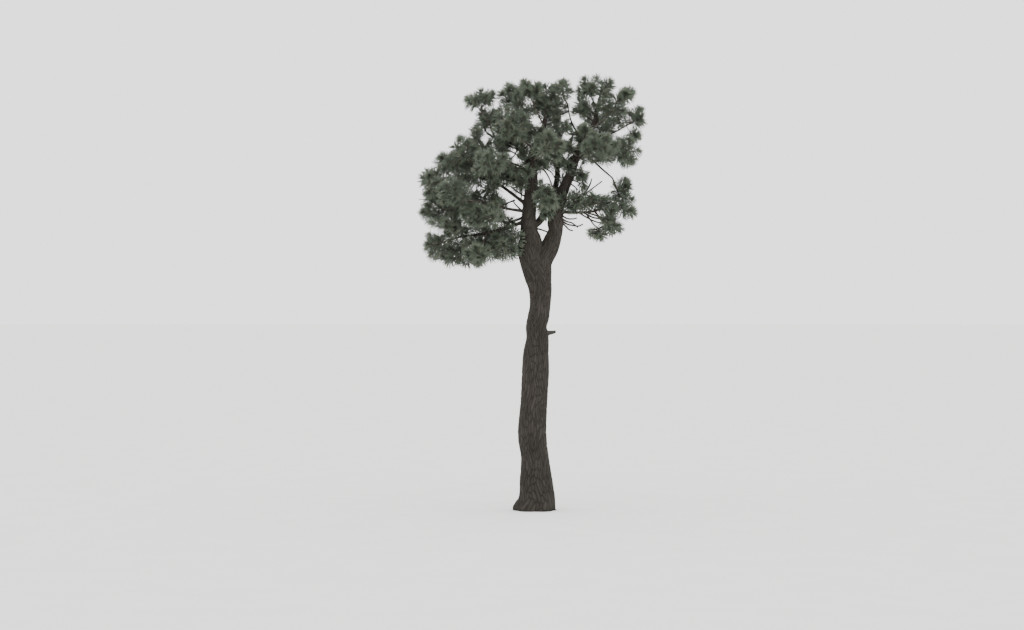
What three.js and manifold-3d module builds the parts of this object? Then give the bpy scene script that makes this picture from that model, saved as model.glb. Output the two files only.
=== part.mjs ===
// A long-needled pine that has grown in the open: a bare, slightly waving trunk that forks into leaders,
// boughs that leave the leaders, and masses of upturned twigs that end in brushes of needles.
// Millimetres, +Z up. The origin is the middle of the flat foot. The tree is seen from the -Y side.
import * as THREE from "three";
import { mergeVertices } from "three/addons/utils/BufferGeometryUtils.js";
import Module from "manifold-3d";

const wasm = await Module();
wasm.setup();

// Driving sizes
const NEEDLE = 148; // a needle's length
const SHOOT = 60; // half the length of the shoot that carries a brush of needles
const SHOOT_RADIUS = 61; // the packed foot of the needles round that shoot
const BRUSH_SIDES = 3; // needles in each round of a brush
const SWEEP = [-0.05, 0.45, 1.5]; // how far each round of needles leans towards the shoot's tip
const STEM_RADII = [15, 10]; // a mass's stem, where it leaves its limb and at its end
const TWIG_RADII = [4, 10]; // a twig, inside its stem and at its brush
const SEAM = 0.35; // clearance between pieces that touch
const LEADER_SEAM = 0.55; // clearance between the trunk and a leader, where the curve runs slower
const SEED = 11;

// The eye that the places below were measured from
const EYE = new THREE.Vector3(-300, -30000, 2606);

// The stems: points of the axis with the radius there, [x, y, z, radius]. Places are as seen.
const LEFT_STEM = [
  [8, 0, 0, 240],
  [33, 0, 170, 232],
  [20, 4, 430, 213],
  [3, 8, 720, 184],
  [-31, 6, 1030, 190],
  [-8, 0, 1430, 178],
  [12, -8, 1800, 180],
  [20, -10, 2080, 171],
  [40, -8, 2290, 150],
  [25, -6, 2445, 138],
  [54, -4, 2590, 142],
  [76, 0, 2740, 138],
  [72, -6, 2960, 150],
  [12, -12, 3150, 154],
  [-38, -20, 3310, 152],
  [-62, -30, 3480, 168],
  [-57, -42, 3610, 150],
  [-73, -55, 3730, 118],
  [-75, -70, 3945, 95],
  [-47, -85, 4200, 91],
  [-42, -95, 4410, 86],
  [-28, -100, 4675, 73],
  [24, -95, 4880, 52],
  [112, -80, 5075, 35],
  [140, -60, 5225, 27],
];
const RIGHT_STEM = [
  [78, 0, 2780, 90],
  [100, 4, 2960, 104],
  [118, 8, 3140, 108],
  [130, 14, 3310, 106],
  [198, 24, 3480, 118],
  [241, 34, 3610, 114],
  [280, 42, 3730, 98],
  [280, 44, 3840, 107],
  [291, 48, 3945, 94],
  [330, 40, 4150, 91],
  [396, 24, 4300, 74],
  [462, 6, 4445, 62],
  [548, -14, 4690, 58],
  [612, -30, 4840, 56],
  [676, -40, 4960, 50],
  [745, -38, 5065, 40],
  [805, -30, 5190, 31],
  [832, -20, 5340, 24],
  [868, -8, 5500, 17],
  [900, 0, 5600, 12],
];
const MIDDLE_STEM = [
  [-70, -60, 3790, 44],
  [28, -10, 3826, 46],
  [88, 30, 3889, 50],
  [148, 80, 3992, 54],
  [202, 130, 4105, 50],
  [254, 180, 4230, 42],
  [297, 215, 4400, 38],
  [308, 245, 4580, 34],
  [316, 275, 4740, 34],
  [337, 320, 4865, 33],
  [318, 380, 5010, 30],
  [290, 420, 5130, 26],
];
const FORK_HEIGHT = 3730; // the leaders start here, above the crotch

// The root flare: how far the toes run out at the ground, how fast they die away, and where they point
const TOE = 62;
const TOE_HEIGHT = 95;
const TOE_WIDTH = 0.42;
const TOE_AZIMUTHS = [180, 238, 302, 8, 74, 128];

// The boughs, each from its parent's axis at the place nearest its first point. Places are as seen.
const BOUGHS = [
  { name: "left_low_bough", from: "left_leader", radii: [26, 11],
    path: [[-75, -60, 3880], [-380, -110, 3765], [-700, -140, 3690], [-930, -160, 3660],
      [-1140, -170, 3610]] },
  { name: "left_low_back_bough", from: "left_leader", radii: [22, 10],
    path: [[-75, -60, 3960], [-200, 190, 3890], [-330, 430, 3850], [-520, 600, 3850]] },
  { name: "left_mid_front_bough", from: "left_leader", radii: [22, 10],
    path: [[-60, -70, 3985], [-380, -210, 4030], [-640, -300, 4100], [-890, -330, 4130]] },
  { name: "left_mid_bough", from: "left_leader", radii: [25, 11],
    path: [[-50, -85, 4040], [-350, -40, 4265], [-580, 20, 4410], [-860, 70, 4465], [-1170, 120, 4440]] },
  { name: "left_mid_back_bough", from: "left_leader", radii: [22, 10],
    path: [[-45, -90, 4400], [-210, 200, 4415], [-470, 470, 4420], [-720, 620, 4420]] },
  { name: "left_high_bough", from: "left_leader", radii: [22, 9],
    path: [[-40, -98, 4560], [-175, 10, 4790], [-330, 80, 4910], [-520, 110, 4960]] },
  { name: "left_high_front_bough", from: "left_leader", radii: [18, 9],
    path: [[-35, -98, 4480], [-200, -320, 4600], [-400, -560, 4660]] },
  { name: "middle_top_bough", from: "right_leader", radii: [15, 8],
    path: [[640, -35, 4900], [545, -40, 5080], [480, -50, 5230], [440, -60, 5430]] },
  { name: "right_edge_bough", from: "right_leader", radii: [18, 9],
    path: [[700, -38, 4990], [890, -30, 5000], [1080, 0, 5055], [1230, 30, 5140]] },
  { name: "right_front_bough", from: "right_leader", radii: [20, 10],
    path: [[540, -12, 4660], [650, -240, 4730], [760, -440, 4790]] },
  { name: "right_back_bough", from: "right_leader", radii: [20, 10],
    path: [[530, -10, 4630], [640, 230, 4740], [740, 480, 4850]] },
  { name: "right_drooping_bough", from: "right_leader", radii: [16, 11],
    path: [[590, -25, 4790], [745, 0, 4700], [900, 50, 4560], [1040, 110, 4440]] },
  { name: "right_low_bough", from: "right_leader", radii: [26, 10],
    path: [[300, 48, 3990], [550, 0, 3975], [740, -60, 3985], [905, -110, 4020]] },
];

// Dead wood: the broken stub on the trunk and the bare snag over the low right bough
const DEAD_WOOD = [
  { name: "dead_stub", from: "trunk", radii: [44, 17],
    path: [[40, -8, 2352], [190, -20, 2366], [286, -24, 2383]] },
  { name: "dead_snag", from: "right_low_bough", radii: [15, 8],
    path: [[540, 0, 3980], [620, 30, 4170], [740, 40, 4270], [905, 50, 4395]] },
];

// The masses of foliage: the name, the limb that carries it, where on the limb it leaves, the centre as seen,
// the radii, how many brushes it may have, and for some the azimuth of the first brush. Where it leaves is a
// height on a leader and a share of the length on a bough.
const MASSES = [
  ["low_left_tip", "left_low_bough", 1, [-1300, -150, 3555], [175, 175, 145], 5, 180],
  ["low_left_under", "left_low_bough", 0.72, [-1050, 190, 3435], [200, 200, 160], 6, 200],
  ["low_front", "left_low_bough", 0.45, [-755, -560, 3410], [185, 215, 160], 5, 250],
  ["low_inner", "left_leader", 3790, [-420, -300, 3530], [240, 240, 215], 9],
  ["low_back", "left_low_back_bough", 0.65, [-595, 620, 3635], [320, 265, 240], 7],
  ["left_low_shelf", "left_low_bough", 0.82, [-1155, -350, 3795], [225, 215, 145], 6],
  ["left_edge_low", "left_mid_front_bough", 1, [-1330, -60, 4025], [200, 240, 200], 7, 190],
  ["left_edge_high", "left_mid_bough", 1, [-1355, 160, 4385], [200, 240, 185], 8, 160],
  ["left_front", "left_mid_front_bough", 0.8, [-1060, -700, 4235], [225, 225, 225], 7],
  ["left_back", "left_low_back_bough", 1, [-970, 760, 4075], [320, 280, 240], 8],
  ["left_shelf_front", "left_mid_front_bough", 0.4, [-700, -580, 3915], [295, 255, 175], 7],
  ["left_shelf_inner", "left_mid_front_bough", 0.6, [-700, 130, 4145], [265, 225, 160], 7],
  ["left_shoulder_low", "left_mid_bough", 0.88, [-1140, 350, 4610], [185, 225, 185], 7],
  ["left_shoulder_mid", "left_mid_bough", 0.62, [-915, -330, 4800], [185, 225, 185], 7, 150],
  ["left_shoulder_back", "left_mid_back_bough", 1, [-820, 800, 4570], [265, 265, 225], 7],
  ["left_high_front", "left_high_front_bough", 1, [-605, -800, 4635], [240, 240, 215], 8],
  ["left_inner_back", "left_mid_back_bough", 0.45, [-365, 400, 4475], [255, 225, 200], 7],
  ["left_high", "left_high_bough", 0.75, [-605, 220, 5185], [200, 215, 175], 6, 200],
  ["left_twin_brush", "left_high_bough", 1, [-720, -60, 5470], [235, 160, 145], 2, 10],
  ["high_front", "left_leader", 4800, [-285, -480, 5120], [240, 255, 255], 10],
  ["high_back", "left_high_bough", 0.5, [-315, 560, 4970], [240, 255, 225], 7],
  ["top_left", "left_leader", 4990, [-300, 130, 5505], [175, 215, 200], 7, 120],
  ["top_middle", "left_leader", 5120, [-60, -270, 5575], [185, 185, 175], 5, 200],
  ["top_centre", "left_leader", 5225, [170, -30, 5440], [215, 215, 265], 10],
  ["top_back", "middle_leader", 5130, [260, 500, 5305], [225, 225, 215], 7],
  ["top_right", "middle_top_bough", 1, [355, -60, 5585], [145, 135, 185], 3, 60],
  ["middle_front", "left_leader", 4640, [180, -640, 4850], [215, 225, 215], 7],
  ["middle_back", "middle_leader", 4700, [220, 880, 4810], [225, 255, 225], 7],
  ["right_top", "right_leader", 5600, [810, -40, 5625], [280, 200, 185], 8],
  ["right_inner", "right_leader", 5170, [665, 260, 5330], [185, 185, 175], 4],
  ["right_far_top", "right_leader", 5330, [1240, -110, 5560], [145, 135, 135], 1],
  ["right_shoulder", "right_leader", 5090, [1035, -190, 5360], [225, 200, 185], 7],
  ["right_edge", "right_edge_bough", 1, [1345, 60, 5225], [160, 160, 160], 4, 40],
  ["right_front", "right_front_bough", 1, [865, -620, 4865], [255, 240, 200], 8],
  ["right_back", "right_back_bough", 1, [825, 720, 5010], [280, 265, 255], 8],
  ["right_low_edge", "right_edge_bough", 0.45, [1195, -130, 4810], [200, 215, 200], 7],
  ["right_shelf", "right_low_bough", 0.4, [705, -190, 4130], [305, 215, 145], 8],
  ["fork_front", "right_leader", 4060, [155, -430, 4170], [145, 185, 255], 6],
  ["right_drooping_tip", "right_drooping_bough", 1, [1155, 130, 4195], [160, 200, 295], 8, 30],
  ["right_low_under", "right_low_bough", 1, [995, -170, 3915], [145, 175, 200], 5],
  ["right_hanging_brush", "right_low_bough", 0.55, [810, -20, 3730], [120, 135, 135], 1],
];

// How a brush sits in its mass
const GOLDEN_TURN = Math.PI * (3 - Math.sqrt(5));
const SAG = 0.12; // how far a stem first sags, as a share of its way
const REACH = 0.48; // the share of a needle's length that a brush's middle stays inside its mass
const UNDERSIDE = 0.86; // the share of the mass, from its top, that carries brushes
const LOOSENESS = 0.3; // how much of its reach a brush may fall short by chance
const BEND = 0.6; // how far along its way a stem sags, as a share
const FORKS = [0.3, 0.85]; // the shares of a stem between which its twigs fork
const FORK_STEP = 0.011; // how far apart twigs fork that would leave the same place
const TWIG_LEAST = 1.8; // how far from the stem a brush's middle stays, in half shoots
const TWIG_SHORTEST = 1.3; // a twig's least length to its brush's middle, in half shoots
const TWIG_STRAIGHTEST = 0.3; // the least cosine between a twig and the shoot that it carries
const UPTURN = 0.55; // how far a brush's shoot turns up
const ROOM_IN_MASS = 102; // the least distance between two brushes of one mass
const ROOM_BETWEEN = 112; // the least distance between brushes of two masses
const BRUSH_MARGIN = 4; // how much nearer to its own brush than to any other a needle's tip stays
const SHORT_NEEDLE = 0.6; // the length that a needle may be cut to before it is left out
const LIMB_MARGIN = 8; // how clear of a limb a brush stays
const BRUSH_NEIGHBOURS = 2.2; // brushes within this many needles of each other may meet
const MASS_NEIGHBOURS = 1500; // masses whose centres are nearer than this may meet

const UP = new THREE.Vector3(0, 0, 1);

// The true place of a point that is given as seen from the eye, on the plane of the trunk, with its depth.
function seen([x, y, z]) {
  const share = 1 + y / -EYE.y;
  return new THREE.Vector3(EYE.x + (x - EYE.x) * share, y, EYE.z + (z - EYE.z) * share);
}

// A repeatable chance from 0 to 1 for the thing that these three whole numbers name.
function chance(mass, brush, use) {
  const wave = Math.sin(SEED + mass * 12.9898 + brush * 78.233 + use * 37.719) * 43758.5453;
  return wave - Math.floor(wave);
}

// A closed geometry as a solid that can be joined and cut.
function toSolid(geometry) {
  const bare = geometry.clone();
  bare.deleteAttribute("normal");
  bare.deleteAttribute("uv");
  const merged = mergeVertices(bare, 1e-3);
  return new wasm.Manifold(new wasm.Mesh({
    numProp: 3,
    vertProperties: merged.attributes.position.array,
    triVerts: new Uint32Array(merged.index.array),
  }));
}

function toGeometry(solid) {
  const mesh = solid.getMesh();
  const geometry = new THREE.BufferGeometry();
  geometry.setAttribute("position", new THREE.BufferAttribute(new Float32Array(mesh.vertProperties), 3));
  geometry.setIndex(new THREE.BufferAttribute(new Uint32Array(mesh.triVerts), 1));
  geometry.computeVertexNormals();
  return geometry;
}

// The solid without the loose scraps that cutting leaves.
function largestBody(solid) {
  return solid.decompose().reduce((kept, body) => (body.volume() > kept.volume() ? body : kept));
}

const joined = (solids) => solids.reduce((sum, solid) => sum.add(solid));

// A smooth axis through points, with a radius that follows the same rule.
function makeAxis(points, radii) {
  const line = new THREE.CatmullRomCurve3(points, false, "catmullrom", 0.5);
  const widths = radii.map((radius) => new THREE.Vector3(radius, 0, 0));
  const width = new THREE.CatmullRomCurve3(widths, false, "catmullrom", 0.5);
  return {
    point: (t) => line.getPoint(t),
    direction: (t) => line.getTangent(t),
    radius: (t) => width.getPoint(t).x,
    segments: points.length - 1,
  };
}

// A tube along an axis: a cylinder whose rings are laid on it, each turned as little as can be from the last.
// A level foot keeps the first ring flat on the ground.
function tube(axis, sides, steps, { from = 0, to = 1, grow = 0, swell = null, levelFoot = false } = {}) {
  const geometry = new THREE.CylinderGeometry(1, 1, 1, sides, steps);
  const rings = [];
  const level = Math.abs(axis.direction(from).x) > 0.9;
  let normal = level ? new THREE.Vector3(0, 1, 0) : new THREE.Vector3(1, 0, 0);
  for (let i = 0; i <= steps; i++) {
    const t = from + ((to - from) * i) / steps;
    const along = levelFoot && i === 0 ? UP : axis.direction(t);
    normal = normal.clone().addScaledVector(along, -normal.dot(along)).normalize();
    const end = i === 0 ? -1 : i === steps ? 1 : 0;
    const centre = axis.point(t).addScaledVector(along, end * grow);
    rings.push({ centre, radius: axis.radius(t) + grow, normal, side: normal.clone().cross(along) });
  }
  const position = geometry.attributes.position;
  for (let i = 0; i < position.count; i++) {
    const ring = rings[Math.round((position.getY(i) + 0.5) * steps)];
    const across = ring.normal.clone().multiplyScalar(position.getX(i));
    across.addScaledVector(ring.side, position.getZ(i));
    const extra = swell && across.lengthSq() > 0 ? swell(ring.centre.z, across) : 0;
    const place = ring.centre.clone().addScaledVector(across, ring.radius + extra);
    position.setXYZ(i, place.x, place.y, place.z);
  }
  return geometry;
}

// Where on an upright axis a height is reached.
function atHeight(axis, height) {
  const steps = 400;
  for (let i = 0; i <= steps; i++) if (axis.point(i / steps).z >= height) return i / steps;
  return 1;
}

// The place on an axis nearest a point.
function nearest(axis, point, from) {
  const steps = 200;
  let best = from;
  for (let i = 0; i <= steps; i++) {
    const t = from + ((1 - from) * i) / steps;
    if (axis.point(t).distanceTo(point) < axis.point(best).distanceTo(point)) best = t;
  }
  return best;
}

// The toes of the root flare, as an extra radius that dies away above the ground.
function toes(height, across) {
  const azimuth = Math.atan2(across.y, across.x);
  const lobes = TOE_AZIMUTHS.map((degrees) => {
    const off = Math.abs(azimuth - THREE.MathUtils.degToRad(degrees)) % (2 * Math.PI);
    return Math.exp(-((Math.min(off, 2 * Math.PI - off) / TOE_WIDTH) ** 2));
  });
  return TOE * Math.exp(-height / TOE_HEIGHT) * Math.min(1, lobes.reduce((sum, lobe) => sum + lobe));
}

const stemAxis = (rows) => makeAxis(rows.map(seen), rows.map((row) => row[3]));

// Limbs by name: the axis, where on it the limb starts, and a function that builds it, grown by a clearance
const limbs = new Map();

function addLimb(name, axis, { from = 0, upright = false, sides, steps, build = null }) {
  const make = build ?? ((grow) => toSolid(tube(axis, sides, steps, { from, grow })));
  const count = 60;
  const samples = Array.from({ length: count + 1 }, (_, i) => {
    const t = from + ((1 - from) * i) / count;
    return { point: axis.point(t), radius: axis.radius(t) };
  });
  limbs.set(name, { name, axis, from, upright, solid: make(0), grown: make(SEAM), samples });
}

// The trunk, whole from the ground to the start of each leader, with the crotch between them.
function addTrunkAndLeaders() {
  const left = stemAxis(LEFT_STEM);
  const right = stemAxis(RIGHT_STEM);
  const middle = stemAxis(MIDDLE_STEM);
  const [leftFork, rightFork] = [left, right].map((axis) => atHeight(axis, FORK_HEIGHT));
  const build = (grow) => {
    const column = toSolid(tube(left, 16, 17, { to: leftFork, grow, swell: toes, levelFoot: true }));
    return column.add(toSolid(tube(right, 12, 5, { to: rightFork, grow })));
  };
  addLimb("trunk", left, { upright: true, build });
  limbs.get("trunk").samples.length = Math.round(leftFork * limbs.get("trunk").samples.length);
  const [leftStart, rightStart] = [left, right].map(
    (axis) => atHeight(axis, FORK_HEIGHT) + LEADER_SEAM / axis.point(0).distanceTo(axis.point(1)),
  );
  addLimb("left_leader", left, { from: leftStart, upright: true, sides: 9, steps: 8 });
  addLimb("right_leader", right, { from: rightStart, upright: true, sides: 9, steps: 11 });
  addLimb("middle_leader", middle, { upright: true, sides: 6, steps: 10 });
}

// A bough or a piece of dead wood: one limb that tapers evenly from its parent's axis to its tip.
function addBough({ name, from, path, radii: [base, tip] }) {
  const parent = limbs.get(from);
  const points = path.map(seen);
  points[0] = parent.axis.point(nearest(parent.axis, points[0], parent.from));
  const taper = points.map((_, i) => base + ((tip - base) * i) / (points.length - 1));
  addLimb(name, makeAxis(points, taper), { sides: 5, steps: 2 * (points.length - 1) });
}

// Cuts a solid clear of every limb already there, but for those named.
function clearOfLimbs(solid, except = []) {
  let cut = solid;
  for (const limb of limbs.values()) if (!except.includes(limb.name)) cut = cut.subtract(limb.grown);
  return largestBody(cut);
}

addTrunkAndLeaders();
limbs.get("middle_leader").solid = clearOfLimbs(limbs.get("middle_leader").solid, ["middle_leader"]);
for (const bough of [...BOUGHS, ...DEAD_WOOD]) {
  addBough(bough);
  limbs.get(bough.name).solid = clearOfLimbs(limbs.get(bough.name).solid, [bough.name]);
}

const masses = MASSES.map(([name, on, at, centre, radii, tufts, turn], index) => (
  { name, on, at, centre: seen(centre), radii, tufts, turn, index }
));

// The places of a mass's brushes: a spiral over its space, each with the way out from the mass's middle.
function spotsOf(mass) {
  return Array.from({ length: mass.tufts }, (_, k) => {
    const rise = 1 - 2 * UNDERSIDE * ((k + 0.5) / mass.tufts);
    const first = mass.turn ?? 360 * chance(mass.index, 0, 1);
    const turn = k * GOLDEN_TURN + THREE.MathUtils.degToRad(first);
    const level = Math.sqrt(1 - rise * rise);
    const out = new THREE.Vector3(level * Math.cos(turn), level * Math.sin(turn), rise);
    const share = mass.tufts > 1 ? 1 - LOOSENESS * chance(mass.index, k, 2) : 0;
    const room = mass.radii.map((radius) => Math.max(radius - REACH * NEEDLE, 0.2 * radius));
    const offset = new THREE.Vector3(...room).multiply(out).multiplyScalar(share);
    return { mass, k, out, middle: mass.centre.clone().add(offset) };
  });
}

// The stem of a mass runs from its limb's axis, sagging at first, through the mass's middle to the furthest
// brush. Every other brush has a twig that forks from the stem near it.
function growMass(mass) {
  const limb = limbs.get(mass.on);
  const root = limb.axis.point(limb.upright ? atHeight(limb.axis, mass.at) : mass.at);
  const spots = spotsOf(mass).sort((a, b) => root.distanceTo(b.middle) - root.distanceTo(a.middle));
  const [last] = spots;
  const onward = last.middle.clone().sub(root).normalize();
  last.shoot = onward.add(last.out).addScaledVector(UP, UPTURN).normalize();
  const heel = last.middle.clone().addScaledVector(last.shoot, -SHOOT);
  const bend = root.clone().lerp(mass.tufts > 1 ? mass.centre : heel, BEND);
  bend.addScaledVector(UP, -SAG * root.distanceTo(bend));
  const [thick, thin] = STEM_RADII;
  mass.stem = makeAxis([root, bend, heel], [thick, (thick + thin) / 2, thin]);
  last.stations = [0, 0.4, 0.75, 1].map((t) => ({ at: mass.stem.point(t), radius: mass.stem.radius(t) }));
  for (const spot of spots.slice(1)) {
    let fork = THREE.MathUtils.clamp(nearest(mass.stem, spot.middle, 0), ...FORKS);
    const tooNear = (share) => mass.stem.point(share).distanceTo(spot.middle) < TWIG_LEAST * SHOOT;
    while (fork > FORKS[0] && tooNear(fork)) fork -= 0.02;
    const start = mass.stem.point(fork - FORK_STEP * spot.k);
    const away = spot.middle.clone().sub(start).normalize();
    spot.shoot = spot.out.clone().multiplyScalar(0.5).addScaledVector(away, 1.5);
    spot.shoot.addScaledVector(UP, UPTURN).normalize();
    const end = spot.middle.clone().addScaledVector(spot.shoot, -SHOOT);
    spot.stations = [{ at: start, radius: TWIG_RADII[0] }, { at: end, radius: TWIG_RADII[1] }];
    const bent = end.clone().sub(start).normalize().dot(spot.shoot) < TWIG_STRAIGHTEST;
    spot.cramped = bent || start.distanceTo(spot.middle) < TWIG_SHORTEST * SHOOT;
  }
  return spots;
}

const clearance = (point, { point: centre, radius }) => centre.distanceTo(point) - radius;

// Points of the wood that leads to a brush, close enough together to measure from.
function woodTo(brush) {
  const line = new THREE.CatmullRomCurve3(brush.stations.map(({ at }) => at), false, "catmullrom", 0.5);
  const radius = Math.max(...brush.stations.map((station) => station.radius));
  return line.getPoints(24).map((point) => ({ brush, point, radius }));
}

// True where a point is nearer to its own brush's middle than to the middle of any other, and clear of wood.
function ownSpace(brush, point) {
  const own = point.distanceTo(brush.middle) + BRUSH_MARGIN;
  return brush.near.every((other) => own < point.distanceTo(other.middle))
    && brush.wood.every((sample) => clearance(point, sample) > LIMB_MARGIN);
}

// True where a whole needle, from the shoot to its tip, keeps to its brush's space.
function fits(brush, foot, tip) {
  return [0.35, 0.6, 0.8, 1].every((share) => ownSpace(brush, foot.clone().lerp(tip, share)));
}

// The wood to a brush and the brush itself as one closed skin: rings along the wood and over the shoot, and
// a needle on each patch of the shoot that has the space for one.
function brushSolid(brush) {
  const { middle, shoot } = brush;
  const ahead = (share) => middle.clone().addScaledVector(shoot, share * SHOOT);
  const stations = [
    ...brush.stations,
    { at: ahead(-0.25), radius: SHOOT_RADIUS },
    { at: ahead(0.5), radius: 0.75 * SHOOT_RADIUS },
  ];
  const apex = ahead(1.1);
  const bare = brush.stations.length - 1;
  let normal = new THREE.Vector3(1, 0, 0).applyAxisAngle(UP, 2 * Math.PI * brush.chance(3));
  const rings = stations.map(({ at, radius }, i) => {
    const next = i + 1 < stations.length ? stations[i + 1].at : apex;
    const along = next.clone().sub(i > 0 ? stations[i - 1].at : at).normalize();
    normal = normal.clone().addScaledVector(along, -normal.dot(along)).normalize();
    const side = along.clone().cross(normal);
    return Array.from({ length: BRUSH_SIDES }, (_, j) => {
      const angle = (2 * Math.PI * j) / BRUSH_SIDES;
      const across = normal.clone().multiplyScalar(Math.cos(angle)).addScaledVector(side, Math.sin(angle));
      return at.clone().addScaledVector(across, radius);
    });
  });
  const corners = [];
  const needle = (patch, round) => {
    const foot = patch.reduce((sum, corner) => sum.add(corner), new THREE.Vector3());
    foot.divideScalar(patch.length);
    const out = foot.clone().sub(middle);
    out.addScaledVector(shoot, -out.dot(shoot)).normalize().addScaledVector(shoot, SWEEP[round]).normalize();
    const length = NEEDLE * (0.84 + 0.16 * brush.chance(10 + corners.length));
    const tip = [1, SHORT_NEEDLE]
      .map((share) => middle.clone().addScaledVector(out, length * share))
      .find((point) => fits(brush, foot, point));
    if (tip) patch.forEach((corner, i) => corners.push(corner, patch[(i + 1) % patch.length], tip));
    else for (let i = 2; i < patch.length; i++) corners.push(patch[0], patch[i - 1], patch[i]);
  };
  for (let j = 0; j < BRUSH_SIDES; j++) {
    const k = (j + 1) % BRUSH_SIDES;
    for (let i = 0; i + 1 < rings.length; i++) {
      const patch = [rings[i][j], rings[i][k], rings[i + 1][k], rings[i + 1][j]];
      if (i >= bare) needle(patch, i - bare);
      else corners.push(patch[0], patch[1], patch[2], patch[0], patch[2], patch[3]);
    }
    needle([rings.at(-1)[j], rings.at(-1)[k], apex], 2);
    if (j > 1) corners.push(rings[0][0], rings[0][j], rings[0][j - 1]);
  }
  return toSolid(new THREE.BufferGeometry().setFromPoints(corners));
}

// The brushes of the whole crown, those at the ends of the stems first. Another is left out where its middle
// crowds a limb, a stem or a brush, or where its twig runs into another brush.
const grown = masses.map(growMass);
const limbWood = [...limbs.values()].flatMap(({ samples }) => samples);
const brushes = grown.map(([last]) => last);
for (const brush of grown.flatMap((spots) => spots.slice(1)).filter((spot) => !spot.cramped)) {
  const lineWood = woodTo(brush);
  const crowded = brushes.some((other) => {
    const room = other.mass === brush.mass ? ROOM_IN_MASS : ROOM_BETWEEN;
    const through = lineWood.some((sample) => clearance(other.middle, sample) < SHOOT_RADIUS);
    return through || other.middle.distanceTo(brush.middle) < room;
  });
  const onWood = [...limbWood, ...brushes.filter((other) => other.mass !== brush.mass).flatMap(woodTo)]
    .some((sample) => clearance(brush.middle, sample) < SHOOT_RADIUS + LIMB_MARGIN);
  if (!crowded && !onWood) brushes.push(brush);
}
const allWood = [...limbWood, ...brushes.flatMap(woodTo)];
for (const brush of brushes) {
  brush.chance = (use) => chance(brush.mass.index, brush.k, use);
  const reached = (other) => other !== brush
    && other.middle.distanceTo(brush.middle) < BRUSH_NEIGHBOURS * NEEDLE;
  brush.near = brushes.filter(reached);
  brush.wood = allWood.filter((sample) => {
    const away = clearance(brush.middle, sample);
    return away < 1.2 * NEEDLE && (sample.brush !== brush || away > 1.2 * SHOOT);
  });
  brush.solid = brushSolid(brush);
}

// A mass: its stem with the brush at its end, and each other brush that touches no mass but its own.
const ofMass = (mass) => brushes.filter((brush) => brush.mass === mass);
for (const mass of masses) mass.solid = clearOfLimbs(ofMass(mass)[0].solid);
function massSolid(mass) {
  const near = (other) => other !== mass && other.centre.distanceTo(mass.centre) < MASS_NEIGHBOURS;
  const others = masses.filter(near);
  const touched = ({ solid }) => others.some((other) => !solid.intersect(other.solid).isEmpty());
  const kept = ofMass(mass).slice(1).filter((brush) => !touched(brush));
  mass.solid = clearOfLimbs(joined([mass.solid, ...kept.map((brush) => brush.solid)]));
  return mass.solid;
}

const bark = new THREE.MeshStandardMaterial({ color: 0x46423e, roughness: 0.95, metalness: 0 });
const greyWood = new THREE.MeshStandardMaterial({ color: 0x575450, roughness: 0.9, metalness: 0 });
const needles = new THREE.MeshStandardMaterial({ color: 0x49514a, roughness: 0.7, metalness: 0 });

function named(name, solid, material) {
  const mesh = new THREE.Mesh(toGeometry(solid), material.clone());
  mesh.name = name;
  return mesh;
}

const tree = new THREE.Group();
const deadNames = DEAD_WOOD.map(({ name }) => name);
for (const { name, solid } of limbs.values())
  tree.add(named(name, solid, deadNames.includes(name) ? greyWood : bark));
for (const mass of masses) tree.add(named(mass.name, massSolid(mass), needles));

export default tree;
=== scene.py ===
"""A long-needled pine that has grown in the open, dressed with its bark, twigs and needles.

Metres, +Z up, in the frame of the solids: the origin is the middle of the flat foot, and the tree is seen
from -Y. The tables repeat the source's named places in millimetres, and the same rule grows the twigs here,
carried on to side shoots and to every needle.
"""

import math

import bpy
import numpy as np
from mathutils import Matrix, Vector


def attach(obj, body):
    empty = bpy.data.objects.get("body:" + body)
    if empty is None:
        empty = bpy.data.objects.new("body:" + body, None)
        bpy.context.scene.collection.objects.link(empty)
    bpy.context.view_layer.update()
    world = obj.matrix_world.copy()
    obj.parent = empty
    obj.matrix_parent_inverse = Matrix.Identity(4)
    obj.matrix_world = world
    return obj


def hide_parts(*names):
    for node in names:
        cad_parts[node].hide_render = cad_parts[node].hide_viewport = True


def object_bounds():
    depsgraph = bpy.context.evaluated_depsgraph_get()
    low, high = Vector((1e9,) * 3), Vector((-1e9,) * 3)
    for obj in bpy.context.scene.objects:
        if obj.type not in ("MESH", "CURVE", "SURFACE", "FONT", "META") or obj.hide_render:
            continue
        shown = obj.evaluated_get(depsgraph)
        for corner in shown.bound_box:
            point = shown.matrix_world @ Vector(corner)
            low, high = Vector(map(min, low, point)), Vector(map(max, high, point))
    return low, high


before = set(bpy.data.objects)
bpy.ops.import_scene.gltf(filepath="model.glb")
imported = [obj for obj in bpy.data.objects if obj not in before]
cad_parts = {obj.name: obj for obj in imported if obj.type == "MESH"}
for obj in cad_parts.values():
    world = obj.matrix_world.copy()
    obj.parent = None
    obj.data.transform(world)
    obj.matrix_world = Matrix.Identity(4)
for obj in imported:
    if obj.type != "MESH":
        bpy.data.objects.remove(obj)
cad_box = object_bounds()

MM = 0.001
UP = np.array([0.0, 0.0, 1.0])
FAR = 9.0  # further than any two points of the tree, or two neighbouring cells of its bark, lie apart
ASIDE = np.array([0.31, 0.42, 0.85])  # a way that no twig runs along
OFF_SHOOTS = [0.3, 0.5, 0.81]  # a way that no shoot points
CHANCE_MIX = (12.9898, 78.233, 37.719)  # what the three numbers behind a chance are multiplied by
CHANCE_SCALE = 43758.5453  # and what their sine is
# What a chance is for, so that no two uses draw the same ones
FIRST_TURN, SHORTFALL, FINE_TURN, FINE_SHORTFALL, SPRAY_TONE = 1, 2, 31, 32, 60

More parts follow.
